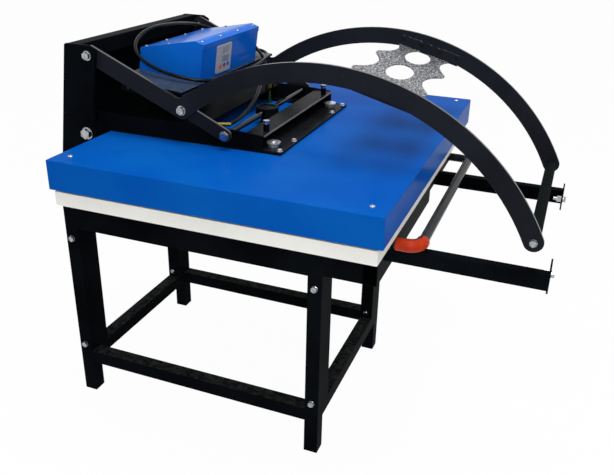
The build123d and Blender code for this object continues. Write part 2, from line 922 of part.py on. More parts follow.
def front_beam():
    """A folded channel across the platen, open to the front."""
    low = cover_top
    high = cover_top + beam_top_height
    face = outline(
        (beam_toe_y, low),
        (beam_rear_y, low),
        (beam_rear_y, high),
        (beam_front_y, high),
        (beam_front_y, high - beam_wall),
        (beam_rear_y - beam_wall, high - beam_wall),
        (beam_rear_y - beam_wall, low + carrier_wall),
        (beam_toe_y, low + carrier_wall),
    )
    rolled = face.vertices().filter_by(lambda v: v.X < beam_front_y + 1 and v.Y > high - 1)
    face = fillet(rolled, beam_wall - 0.5)
    beam = slab(face, -carrier_inner, carrier_inner)
    for side in (-1, 1):
        x = side * level_screw_x
        beam -= post(level_screw_radius + slide_gap, x, level_screw_y, low + carrier_wall + 1, high + 1)
    for x in flange_bolt_xs:
        beam -= pair(post(flange_bolt_radius + fit_gap, x, beam_toe_y + flange_bolt_from_toe, low - 1, low + carrier_wall + 1))
    return beam - pair(post(clamp_radius + fit_gap, clamp_x, clamp_y, low - 1, low + carrier_wall + 1))


def carrier_mid_plate():
    """The flat plate between the carrier rails behind the rod."""
    z = cover_top + mid_plate_height
    x = (-carrier_inner, carrier_inner)
    plate = block(x, (mid_plate_front, mid_plate_rear), (z, z + mid_plate_thickness))
    return plate - post(stud_radius + fit_gap, stud_x, stud_y, z - 1, z + mid_plate_thickness + 1)


def mid_plate_studs():
    """A stud from the cover up through the plate at the right, with a thick nut on top."""
    seat = cover_top + mid_plate_height + mid_plate_thickness
    stud = post(stud_radius, stud_x, stud_y, cover_top, seat + stud_end)
    return [stud, Pos(stud_x, stud_y, seat) * nut(stud_radius, stud_nut_share)]


def cross_rod():
    """The bright rod between the carrier rails at the feet of the links."""
    return right_rod(rod_radius, link_foot, -carrier_outer, carrier_outer)


def rod_hub():
    """The round hub on the rod, dished on top, on a neck that stands on the cover."""
    y, z = link_foot
    low = z - hub_height / 2
    hub = extrude(Circle(hub_radius), amount=hub_height)
    hub = fillet(hub.edges().filter_by(GeomType.CIRCLE), hub_dish)
    hub -= Pos(0, 0, hub_height - hub_dish) * extrude(Circle(hub_radius - hub_rim), amount=hub_rim)
    hub = Pos(hub_x, y, low) * hub
    hub += post(hub_neck_radius, hub_x, y, cover_top, low)
    return hub - right_rod(rod_radius + fit_gap, link_foot, -half_stand, half_stand)


def right_pressure_screw():
    """A levelling screw through the front beam's top, held by a nut below it."""
    nut_low = -beam_wall - slide_gap - level_nut_height
    screw = post(level_screw_radius, 0, 0, nut_low - slide_gap, slide_gap)
    screw += Pos(0, 0, nut_low) * extrude(hexagon(level_cap_width), amount=level_nut_height)
    screw += Pos(0, 0, slide_gap) * extrude(Circle(level_sleeve_radius), amount=level_sleeve_height)
    cap_low = slide_gap + level_sleeve_height
    screw += Pos(0, 0, cap_low) * extrude(hexagon(level_cap_width), amount=level_cap_height)
    return Pos(level_screw_x, level_screw_y, cover_top + beam_top_height) * screw


def clamp_bolts():
    """Bolts that hold the front beam to the cover, with a nut under a wide disc."""
    seat = cover_top + carrier_wall
    clamp = Pos(0, 0, cover_top - cover_wall - seat) * extrude(
        Circle(clamp_radius), amount=seat - cover_top + cover_wall
    )
    clamp += extrude(hexagon(clamp_nut_width), amount=clamp_nut_height)
    disc_top = clamp_nut_height + clamp_disc_thickness
    clamp += Pos(0, 0, clamp_nut_height) * extrude(Circle(clamp_disc_radius), amount=clamp_disc_thickness)
    clamp += Pos(0, 0, disc_top) * extrude(Circle(clamp_radius), amount=clamp_end)
    return pair(Pos(clamp_x, clamp_y, seat) * clamp)


def flange_bolts():
    """Small bolts through the toe of the front beam into the cover."""
    seat = cover_top + carrier_wall
    y = beam_toe_y + flange_bolt_from_toe
    pieces = []
    for x in flange_bolt_xs:
        place = Pos(x, y, seat)
        pieces += pair(place * bolt(flange_bolt_radius, carrier_wall + cover_wall, wide_washer_share))
    return pieces


def cover_screw_places():
    """The four (x, y) places of the screws in the platen's corners."""
    x = platen_width / 2 - cover_screw_inset_x
    y = platen_depth / 2 - cover_screw_inset_y
    return [(side * x, end * y) for side in (-1, 1) for end in (-1, 1)]


def platen_cover():
    """The folded steel cover over the heater, open below."""
    half_x = platen_width / 2
    half_y = platen_depth / 2
    cover = block((-half_x, half_x), (-half_y, half_y), (cover_bottom, cover_top))
    cover = fillet(cover.edges().filter_by(Axis.Z), cover_edge_radius)
    cover = fillet(cover.faces().sort_by(Axis.Z)[-1].edges(), cover_edge_radius - 0.5)
    wall = cover_wall
    inside_x = (wall - half_x, half_x - wall)
    inside_y = (wall - half_y, half_y - wall)
    cover -= block(inside_x, inside_y, (cover_bottom - 1, cover_top - wall))
    for x, y in cover_screw_places():
        cover -= post(cover_screw_radius + fit_gap, x, y, cover_top - wall - 1, cover_top + 1)
    for x in flange_bolt_xs:
        cover -= pair(post(flange_bolt_radius + fit_gap, x, beam_toe_y + flange_bolt_from_toe, cover_top - wall - 1, cover_top + 1))
    return cover - pair(post(clamp_radius + fit_gap, clamp_x, clamp_y, cover_top - wall - 1, cover_top + 1))


def insulation_board():
    """The heat insulation between the heater and the cover."""
    half_x = heater_width / 2
    half_y = heater_depth / 2
    top = cover_top - cover_wall
    board = block((-half_x, half_x), (-half_y, half_y), (heater_top, top))
    for x, y in cover_screw_places():
        board -= post(cover_screw_radius + fit_gap, x, y, heater_top - 1, top + 1)
    return board


def heater_plate():
    """The cast aluminium heating plate, tapped for the cover screws."""
    half_x = heater_width / 2
    half_y = heater_depth / 2
    plate = block((-half_x, half_x), (-half_y, half_y), (heater_bottom, heater_top))
    for x, y in cover_screw_places():
        plate -= post(cover_screw_radius + fit_gap, x, y, cover_top - cover_screw_grip - 2, heater_top + 1)
    return plate


def cover_screws():
    """Long screws that hold the cover and the insulation to the heater."""
    screw = pan_screw(cover_screw_radius, cover_screw_grip)
    return [Pos(x, y, cover_top) * screw for x, y in cover_screw_places()]


def drawer_frame():
    """The welded frame under the bed with its roller brackets and axles."""
    outer = roller_outer - roller_width - bracket_gap - bracket_thickness
    member = drawer_member_width
    half = drawer_length / 2
    front_half = drawer_front_width / 2
    z = (drawer_bottom, bed_bottom)
    front_z = (drawer_bottom + drawer_front_rise, bed_bottom)
    frame = block((-front_half, front_half), (-half, member - half), front_z)
    frame += block((-outer, outer), (half - member, half), z)
    for side in (-1, 1):
        x = sorted((side * (outer - member), side * outer))
        frame += block(x, (member - half, half), z)
    bracket_z = (roller_z - bracket_below_axle, bed_bottom - fit_gap)
    for y in (-roller_spread, roller_spread):
        bracket_y = (y - bracket_width / 2, y + bracket_width / 2)
        bracket = block((outer, outer + bracket_thickness), bracket_y, bracket_z)
        axle = right_rod(roller_axle_radius, (y, roller_z), outer, roller_outer + 1)
        frame += pair(bracket + axle)
    return frame


def rollers(y):
    """A left and a right roller on their axles."""
    face = Circle(roller_radius) - Circle(roller_axle_radius + running_gap)
    inner = roller_outer - roller_width
    return pair(slab(Pos(y, roller_z) * face, inner, roller_outer))


def bed_board():
    """The white bed under the pad."""
    half = bed_width / 2
    board = block((-half, half), (-bed_front, bed_rear), (bed_bottom, bed_top))
    return fillet(board.edges().filter_by(Axis.Z), 2.0)


def silicone_pad():
    """The soft pad that the heater presses on."""
    half = bed_width / 2 - pad_margin
    y = (pad_margin - bed_front, bed_rear - pad_margin)
    return block((-half, half), y, (bed_top, pad_top))


def pull_path():
    """The centre line of the bed's pull handle."""
    x = pull_width / 2
    z = bed_bottom - pull_drop
    rear = -drawer_length / 2
    front = rear - pull_reach
    return FilletPolyline((-x, rear, z), (-x, front, z), (x, front, z), (x, rear, z), radius=pull_bend)


def drawer_handle():
    """The round tube pull handle."""
    start = Plane(origin=pull_path() @ 0, z_dir=pull_path() % 0)
    return sweep(start * Circle(pull_radius), path=pull_path())


def corner_guard():
    """The sleeve over the left corner of the pull handle."""
    x = -pull_width / 2
    z = bed_bottom - pull_drop
    front = -drawer_length / 2 - pull_reach
    points = ((x, front + guard_side, z), (x, front, z), (x + guard_front, front, z))
    path = FilletPolyline(*points, radius=pull_bend)
    start = Plane(origin=path @ 0, z_dir=path % 0)
    inner = pull_radius + fit_gap
    return sweep(start * (Circle(pull_radius + guard_wall) - Circle(inner)), path=path)


def guard_inside():
    """The room on the inner side of the left corner's centre line, and above the tube."""
    x = -pull_width / 2
    z = bed_bottom - pull_drop
    front = -drawer_length / 2 - pull_reach
    far = 80.0
    face = make_face([
        *FilletPolyline((x, front + far), (x, front), (x + far, front), radius=pull_bend).edges(),
        *Polyline((x + far, front), (x + far, front + far), (x, front + far)).edges(),
    ])
    return Pos(0, 0, z) * extrude(face, amount=pull_radius * 3)


def cable(points, radius=cable_radius):
    """A round cable along a route, with arcs as large as its runs allow."""
    radii = []
    for before, here, after in zip(points, points[1:], points[2:]):
        first = Vector(*here) - Vector(*before)
        second = Vector(*after) - Vector(*here)
        turn = math.radians(first.get_angle(second))
        run = min(first.length, second.length)
        radii.append(0.45 * run / math.tan(turn / 2))
    path = FilletPolyline(*points, radius=radii)
    start = Plane(origin=path @ 0, z_dir=path % 0)
    return sweep(start * Circle(radius), path=path)


def loop_gland():
    """Where the long cable leaves the right side of the box, as (y, z)."""
    return (318.0, cover_top + 180.0)


def return_gland():
    """Where the long cable comes back into the box, as (y, z)."""
    return (252.0, cover_top + 152.0)


def lead_gland():
    """Where the heater lead leaves the box, as (y, z)."""
    return (285.0, cover_top + 190.0)


def cable_loop():
    """The cable laid once around the control box, above the shelf."""
    start = (box_right + gland_length, *loop_gland())
    end = (box_right + gland_length, *return_gland())
    low = cover_top + loop_rise
    route = (
        start, (214, 318, low + 40), (243, 333, low + 46), (252, 362, low + 56),
        (238, 390, low + 68), (206, 407, low + 79), (160, 409, low + 88), (98, 404, low + 97),
        (30, 401, low + 103), (-40, 401, low + 106), (-97, 400, low + 100), (-147, 392, low + 86),
        (-185, 372, low + 66), (-204, 337, low + 46), (-209, 297, low + 31), (-206, 258, low + 20),
        (-201, 220, low + 12), (-188, 184, low + 6), (-162, 158, low + 3), (-124, 146, low + 1),
        (-76, 145, low - 2), (-18, 149, low - 4), (46, 146, low - 3), (102, 147, low - 1),
        (152, 151, low + 2), (196, 160, low + 5), (226, 176, low + 8), (244, 204, low + 11),
        (238, 236, low + 12), (212, 252, low + 12), end,
    )
    return cable(route)


def lead_end():
    """Where the lead meets its sleeve, beside the left link's foot."""
    return (-196.0, 88.0, cover_top + 63.0)


def cable_lead():
    """The lead from the box down to the left foot of the links."""
    start = (box_right + gland_length, *lead_gland())
    low = cover_top
    route = (
        start, (210, 285, low + 190), (234, 272, low + 187), (240, 246, low + 178),
        (231, 222, low + 168), (216, 201, low + 157), (200, 181, low + 145), (187, 165, low + 131),
        (171, 153, low + 118), (146, 145, low + 107), (112, 136, low + 96), (72, 124, low + 84),
        (28, 115, low + 72),
        (-22, 106, low + 63), (-76, 98, low + 54), (-124, 94, low + 53), (-162, 91, low + 57),
        lead_end(),
    )
    return cable(route)


def lead_sleeve():
    """The yellow sleeve on the lead's end, lying over the left carrier rail."""
    direction = Vector(-34, -3, 6).normalized()
    start = Plane(origin=lead_end(), z_dir=direction)
    return start.location * extrude(Circle(sleeve_radius), amount=sleeve_length)


def cable_glands():
    """The three round glands on the right side of the box."""
    glands = []
    for y, z in (loop_gland(), return_gland(), lead_gland()):
        glands.append(right_rod(gland_radius, (y, z), box_right, box_right + gland_length))
    return glands


def save(name, shape):
    """Writes one piece, or one group of pieces, to its own file."""
    pieces = list(shape) if isinstance(shape, (list, tuple)) else [shape]
    solids = [solid for piece in pieces for solid in piece.solids()]
    group = Compound(solids) if len(solids) > 1 else solids[0]
    export_step(group.moved(Location((0, -middle_y, 0))), f"parts/{name}.step")


def save_pair(name, right_shape):
    """Writes a right-hand piece and its left-hand twin."""
    save(f"right_{name}", right_shape)
    save(f"left_{name}", mirrored(right_shape))


def main():
    """Builds and writes every part of the machine."""
    os.makedirs("parts", exist_ok=True)
    foot_holes = bolt_clearances()
    save("table_top_frame", table_top_frame() - foot_holes)
    save_pair("leg_frame", right_leg_frame())
    save("front_leg_brace", leg_brace(front_leg_y))
    save("rear_leg_brace", leg_brace(rear_leg_y))
    save("frame_bolts", leg_bolts() + side_plate_bolts())
    save_pair("side_plate", right_side_plate() - foot_holes)
    save("rear_top_beam", rear_top_beam())
    save("rear_panel", rear_panel())
    save_pair("runner_rail", right_runner_rail())
    save("stop_bolts", stop_bolts())
    save("arm_pivot_bolts", pivot_bolts(arm_pivot, pivot_radius, arm_inner))
    save("platen_pivot_bolts", pivot_bolts(platen_pivot, hinge_radius, carrier_inner))

    save_pair("arm", right_arm())
    save("handle_bar", handle_bar())
    save("handle_grip", handle_grip())
    save("handle_end_bolts", handle_end_bolts())
    save("scalloped_plate", scalloped_plate())
    save("plate_screws", plate_screws() + shelf_screws())
    save("control_shelf", control_shelf())
    lid_holes = screw_clearances()
    save("control_box_body", control_box_body())
    save("control_box_lid", control_box_lid() - lid_holes)
    save("box_screws", box_screws())
    save("controller_panel", controller_panel())
    save("display_windows", display_windows())
    for name in button_places():
        save(name, button(name))
    save("cable_glands", cable_glands())
    save("cable_loop", cable_loop())
    save("cable_lead", cable_lead())

    save_pair("link", right_link())
    top_bolt_end = link_inner - bolt_end_share * pivot_radius
    save("link_top_bolts", link_bolts(link_top, arm_outer, top_bolt_end) + link_nuts())
    save("link_foot_bolts", link_bolts(link_foot, link_outer, carrier_outer + slide_gap))
    save("lead_sleeve", lead_sleeve())

    save_pair("carrier_rail", right_carrier_rail())
    save("front_beam", front_beam())
    save("carrier_mid_plate", carrier_mid_plate())
    save("mid_plate_studs", mid_plate_studs())
    save("cross_rod", cross_rod())
    save("rod_hub", rod_hub())
    save_pair("pressure_screw", right_pressure_screw())
    save("platen_cover", platen_cover())
    save("insulation_board", insulation_board())
    save("heater_plate", heater_plate())
    save("platen_screws", cover_screws() + flange_bolts() + clamp_bolts())

    save("drawer_frame", drawer_frame())
    save("drawer_handle", drawer_handle())
    guard = corner_guard()
    inner_guard = guard & guard_inside()
    save("guard_inner", inner_guard)
    save("guard_outer", guard - guard_inside())
    save("bed_board", bed_board())
    save("silicone_pad", silicone_pad())
    save("front_rollers", rollers(-roller_spread))
    save("rear_rollers", rollers(roller_spread))


main()
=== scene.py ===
"""Looks of a large format heat press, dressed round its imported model.

Lengths are in metres unless a name says millimetres. In the shared frame +x is to the
operator's right, +y to the rear and z up from the floor.
"""
from __future__ import annotations

import json
import logging
import math
from collections.abc import Callable
from dataclasses import dataclass
from enum import IntEnum

import bpy
from mathutils import Matrix, Vector

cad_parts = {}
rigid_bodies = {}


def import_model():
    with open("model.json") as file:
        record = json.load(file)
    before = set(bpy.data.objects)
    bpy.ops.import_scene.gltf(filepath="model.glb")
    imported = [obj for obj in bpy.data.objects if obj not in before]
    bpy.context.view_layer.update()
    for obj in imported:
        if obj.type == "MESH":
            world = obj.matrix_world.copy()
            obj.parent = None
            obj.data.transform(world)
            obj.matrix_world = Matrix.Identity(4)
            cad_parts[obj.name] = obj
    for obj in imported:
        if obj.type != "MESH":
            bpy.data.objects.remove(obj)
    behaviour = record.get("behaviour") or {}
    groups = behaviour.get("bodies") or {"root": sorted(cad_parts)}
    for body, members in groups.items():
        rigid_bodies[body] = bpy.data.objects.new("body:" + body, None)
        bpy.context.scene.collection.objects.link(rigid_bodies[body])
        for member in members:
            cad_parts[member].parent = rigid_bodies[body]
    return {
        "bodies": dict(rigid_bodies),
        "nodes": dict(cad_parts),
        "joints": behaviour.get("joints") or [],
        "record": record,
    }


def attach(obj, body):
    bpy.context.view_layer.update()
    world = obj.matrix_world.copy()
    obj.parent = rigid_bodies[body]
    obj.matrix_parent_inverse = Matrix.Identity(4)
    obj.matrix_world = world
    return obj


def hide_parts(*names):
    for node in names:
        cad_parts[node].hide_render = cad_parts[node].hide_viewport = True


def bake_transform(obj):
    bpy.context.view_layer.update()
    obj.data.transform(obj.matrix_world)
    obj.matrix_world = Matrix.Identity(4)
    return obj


LOG = logging.getLogger("heat_press")
Point = tuple[float, float, float]
Span = tuple[float, float]
Piece = bpy.types.Object
Tree = bpy.types.NodeTree
Node = bpy.types.Node
Socket = bpy.types.NodeSocket
MM = 0.001
MERGE_WIDTH = 0.01 * MM
FLAT_DEGREES = 0.4
SHARP_DEGREES = 30.0
SMOOTH_DEGREES = 40.0
QUARTER_TURN = math.pi / 2


class Layer(IntEnum):
    """The places in a piece's list of materials."""

    KEEP = -1
    FACE = 0
    EDGE = 1
    THIRD = 2


def linear(colour: str) -> tuple[float, float, float, float]:
    """Turns an sRGB hex colour to linear.

    Args:
        colour: A colour such as "#0A58B8".

    Returns:
        Linear red, green, blue and alpha.
    """
    parts = [int(colour[i:i + 2], 16) / 255 for i in (1, 3, 5)]
    tone = [p / 12.92 if p <= 0.04045 else ((p + 0.055) / 1.055) ** 2.4 for p in parts]
    return (tone[0], tone[1], tone[2], 1.0)


def add_object(name: str, data: bpy.types.ID) -> Piece:
    """Adds an object to the scene.

    Args:
        name: The object's name.
        data: Its mesh, curve, light or camera.

    Returns:
        The object.
    """
    made = bpy.data.objects.new(name, data)
    bpy.context.scene.collection.objects.link(made)
    return made


def bare_tree(owner: bpy.types.Material | bpy.types.World) -> Tree:
    """Empties the nodes of a material or world.

    Args:
        owner: The material or world.

    Returns:
        Its tree.
    """
    owner.use_nodes = True
    owner.node_tree.nodes.clear()
    return owner.node_tree


def put(tree: Tree, kind: str, settings: dict | None = None,
        links: dict | None = None) -> Node:
    """Adds a node with its settings and links.

    Args:
        tree: The tree that gets the node.
        kind: The node's type name.
        settings: Socket values or properties by name.
        links: Output sockets by the name of the input that each feeds.

    Returns:
        The new node.
    """
    made = tree.nodes.new(kind)
    for name, value in (settings or {}).items():
        if hasattr(made, name):
            setattr(made, name, value)
        else:
            made.inputs[name].default_value = value
    for name, output in (links or {}).items():
        tree.links.new(output, made.inputs[name])
    return made


def combine(tree: Tree, operation: str, first: Socket, second: Socket) -> Socket:
    """Combines two values.

    Args:
        tree: The tree that gets the node.
        operation: The operation's name.
        first: The first value.
        second: The second value.

    Returns:
        The result.
    """
    made = put(tree, "ShaderNodeMath", {"operation": operation})
    tree.links.new(first, made.inputs[0])
    tree.links.new(second, made.inputs[1])
    return made.outputs[0]


def noise(tree: Tree, place: Socket, pitch_mm: float, detail: float = 2.0,
          rough: float = 0.5) -> Socket:
    """A cloud pattern from 0 to 1. Finer clouds are laid over it detail times."""
    settings = {"Scale": 1.0 / (pitch_mm * MM), "Detail": detail, "Roughness": rough}
    return put(tree, "ShaderNodeTexNoise", settings, {"Vector": place}).outputs["Fac"]


def spread(tree: Tree, value: Socket, part: Span, onto: Span = (0.0, 1.0)) -> Socket:
    """Stretches the part of a value between two ends over new ends."""
    settings = {"From Min": part[0], "From Max": part[1],
                "To Min": onto[0], "To Max": onto[1]}
    return put(tree, "ShaderNodeMapRange", settings, {"Value": value}).outputs["Result"]


def blend_colours(tree: Tree, share: Socket, first: Socket | str, second: str) -> Socket:
    """Mixes two colours.

    Args:
        tree: The material's tree.
        share: How much of the second colour shows, from 0 to 1.
        first: The first colour, as a hex colour or a socket.
        second: The second colour.

    Returns:
        The mixed colour.
    """
    settings: dict = {"Color2": linear(second)}
    links = {"Fac": share}
    if isinstance(first, str):
        settings["Color1"] = linear(first)
    else:
        links["Color1"] = first
    return put(tree, "ShaderNodeMixRGB", settings, links).outputs["Color"]


def relief(tree: Tree, height: Socket, depth_mm: float) -> Socket:
    """The normal of a surface whose highest places stand out by depth_mm."""
    settings = {"Strength": 1.0, "Distance": depth_mm * MM}
    return put(tree, "ShaderNodeBump", settings, {"Height": height}).outputs["Normal"]


@dataclass(frozen=True)
class Finish:
    """A surface of the machine: its shader's constants, shared by every kind of finish."""

    name: str
    colour: str
    roughness: float
    metallic: float = 0.0
    specular: float = 0.5
    sheen: Span = (0.0, 0.0)

    def vary(self, tree: Tree, value: Socket, part: Span = (0.0, 1.0)) -> Socket:
        """Varies the roughness by a pattern, between the two steps of the sheen."""
        low, high = self.sheen
        return spread(tree, value, part, (self.roughness + low, self.roughness + high))

    def pattern(self, tree: Tree, place: Socket) -> dict[str, Socket]:
        """Adds the pattern of this kind of finish.

        Args:
            tree: The material's tree.
            place: The piece's coordinates.

        Returns:
            What feeds the shader, by input.
        """
        raise NotImplementedError

    def build(self) -> bpy.types.Material:
        """Makes the material.

        Returns:
            The material.
        """
        material = bpy.data.materials.new(self.name)
        tree = bare_tree(material)
        shader = put(tree, "ShaderNodeBsdfPrincipled", {
            "Base Color": linear(self.colour), "Roughness": self.roughness,
            "Metallic": self.metallic, "Specular IOR Level": self.specular,
        })
        put(tree, "ShaderNodeOutputMaterial", {}, {"Surface": shader.outputs["BSDF"]})
        place = put(tree, "ShaderNodeTexCoord").outputs["Object"]
        for name, output in self.pattern(tree, place).items():
            tree.links.new(output, shader.inputs[name])
        return material


@dataclass(frozen=True)
class PowderCoat(Finish):
    """Baked powder paint on steel: an even colour with a faint orange peel and soft dust."""

    sheen: Span = (-0.03, 0.04)
    shade: str = "#16191E"
    drift_mm: float = 190.0
    drift_part: Span = (0.35, 0.65)
    dust: float = 0.0
    dust_colour: str = "#8C8C90"
    dust_mm: float = 14.0
    dust_part: Span = (0.38, 0.66)
    dust_slopes: Span = (0.35, 0.95)
    wiped_mm: float = 120.0
    wiped_part: Span = (0.3, 0.7)
    peel_mm: float = 3.0
    peel_depth_mm: float = 0.008

    def pattern(self, tree: Tree, place: Socket) -> dict[str, Socket]:
        """Drifts the colour, lays dust on upward faces and ripples the coat.

        Args:
            tree: The material's tree.
            place: The piece's coordinates.

        Returns:
            What feeds the shader, by input.
        """
        drift = spread(tree, noise(tree, place, self.drift_mm, detail=3.0), self.drift_part)
        colour = blend_colours(tree, drift, self.colour, self.shade)
        if self.dust:
            normal = put(tree, "ShaderNodeNewGeometry").outputs["Normal"]
            split = put(tree, "ShaderNodeSeparateXYZ", {}, {"Vector": normal})
            up = spread(tree, split.outputs["Z"], self.dust_slopes, (0.0, self.dust))
            specks = noise(tree, place, self.dust_mm, detail=8.0, rough=0.7)
            lying = combine(tree, "MULTIPLY", up, spread(tree, specks, self.dust_part))
            colour = blend_colours(tree, lying, colour, self.dust_colour)
        wiped = noise(tree, place, self.wiped_mm, detail=3.0)
        peel = noise(tree, place, self.peel_mm, detail=1.0)
        return {
            "Base Color": colour,
            "Roughness": self.vary(tree, wiped, self.wiped_part),
            "Normal": relief(tree, peel, self.peel_depth_mm),
        }


@dataclass(frozen=True)
class PlatedSteel(Finish):
    """Turned or pressed steel with a bright plating, dulled a little by handling; on the bolts
    and clamps the clouds are painted reflections.
    """

    sheen: Span = (0.0, 0.1)
    stain: str = "#8E8C86"
    stain_part: Span = (0.4, 0.75)
    grain_mm: float = 5.0
    ripple_mm: float = 3.0
    ripple_depth_mm: float = 0.004

    def pattern(self, tree: Tree, place: Socket) -> dict[str, Socket]:
        """Clouds the plating and varies how sharply it reflects.

        Args:
            tree: The material's tree.
            place: The piece's coordinates.

        Returns:
            What feeds the shader, by input.
        """
        grain = noise(tree, place, self.grain_mm, detail=4.0, rough=0.6)
        cloud = spread(tree, grain, self.stain_part)
        return {
            "Base Color": blend_colours(tree, cloud, self.colour, self.stain),
            "Roughness": self.vary(tree, cloud),
            "Normal": relief(tree, noise(tree, place, self.ripple_mm), self.ripple_depth_mm),
        }


@dataclass(frozen=True)
class HammerPaint(Finish):
    """Hammer-effect paint: silver flakes that pool round dark specks millimetres wide."""

    sheen: Span = (0.15, 0.0)
    sheen_part: Span = (0.3, 0.7)
    dark: str = "#25262D"
    speck_mm: float = 5.0
    speck_part: Span = (0.48, 0.62)
    flake_depth_mm: float = 0.25

    def pattern(self, tree: Tree, place: Socket) -> dict[str, Socket]:
        """Scatters dark specks in the silver.

        Args:
            tree: The material's tree.
            place: The piece's coordinates.

        Returns:
            What feeds the shader, by input.
        """
        cells = noise(tree, place, self.speck_mm, detail=3.0, rough=0.65)
        share = spread(tree, cells, self.speck_part)
        return {
            "Base Color": blend_colours(tree, share, self.dark, self.colour),
            "Roughness": self.vary(tree, cells, self.sheen_part),
            "Normal": relief(tree, cells, self.flake_depth_mm),
        }


@dataclass(frozen=True)
class Moulded(Finish):
    """Moulded plastic or rubber: one colour with a fine spark-eroded grain."""

    sheen: Span = (-0.05, 0.08)
    shade: str = "#101214"
    drift_mm: float = 30.0
    drift_part: Span = (0.35, 0.7)
    grain_mm: float = 1.2
    grain_depth_mm: float = 0.04

    def pattern(self, tree: Tree, place: Socket) -> dict[str, Socket]:
        """Drifts the colour a little and grains the surface.

        Args:
            tree: The material's tree.
            place: The piece's coordinates.

        Returns:
            What feeds the shader, by input.
        """
        drift = spread(tree, noise(tree, place, self.drift_mm, detail=4.0), self.drift_part)
        return {
            "Base Color": blend_colours(tree, drift, self.colour, self.shade),
            "Roughness": self.vary(tree, drift),
            "Normal": relief(tree, noise(tree, place, self.grain_mm), self.grain_depth_mm),
        }


@dataclass(frozen=True)
class PorousFoam(Finish):
    """Closed cell foam rubber: matt, with pores about a millimetre wide, darkened in their
    hollows as painted shade.
    """

    deep: str = "#050606"
    pore_mm: float = 1.6
    pore_part: Span = (0.0, 0.6)
    pore_depth_mm: float = 0.2

    def pattern(self, tree: Tree, place: Socket) -> dict[str, Socket]:
        """Pits the surface with pores and paints shade in their hollows.

        Args:
            tree: The material's tree.
            place: The piece's coordinates.

        Returns:
            What feeds the shader, by input.
        """
        settings = {"Scale": 1.0 / (self.pore_mm * MM)}
        cells = put(tree, "ShaderNodeTexVoronoi", settings, {"Vector": place})
        pit = spread(tree, cells.outputs["Distance"], self.pore_part)
        return {
            "Base Color": blend_colours(tree, pit, self.deep, self.colour),
            "Normal": relief(tree, pit, self.pore_depth_mm),
        }


@dataclass(frozen=True)
class MineralBoard(Finish):
    """Pressed mineral fibre: matt, with short tangled fibres."""

    fibre: str = "#B8AE93"
    tangle_mm: float = 4.0
    tangle_part: Span = (0.35, 0.65)
    tangle_depth_mm: float = 0.4

    def pattern(self, tree: Tree, place: Socket) -> dict[str, Socket]:
        """Tangles pale and darker fibres.

        Args:
            tree: The material's tree.
            place: The piece's coordinates.

        Returns:
            What feeds the shader, by input.
        """
        tangle = noise(tree, place, self.tangle_mm, detail=8.0, rough=0.75)
        share = spread(tree, tangle, self.tangle_part)
        return {
            "Base Color": blend_colours(tree, share, self.colour, self.fibre),
            "Normal": relief(tree, tangle, self.tangle_depth_mm),
        }


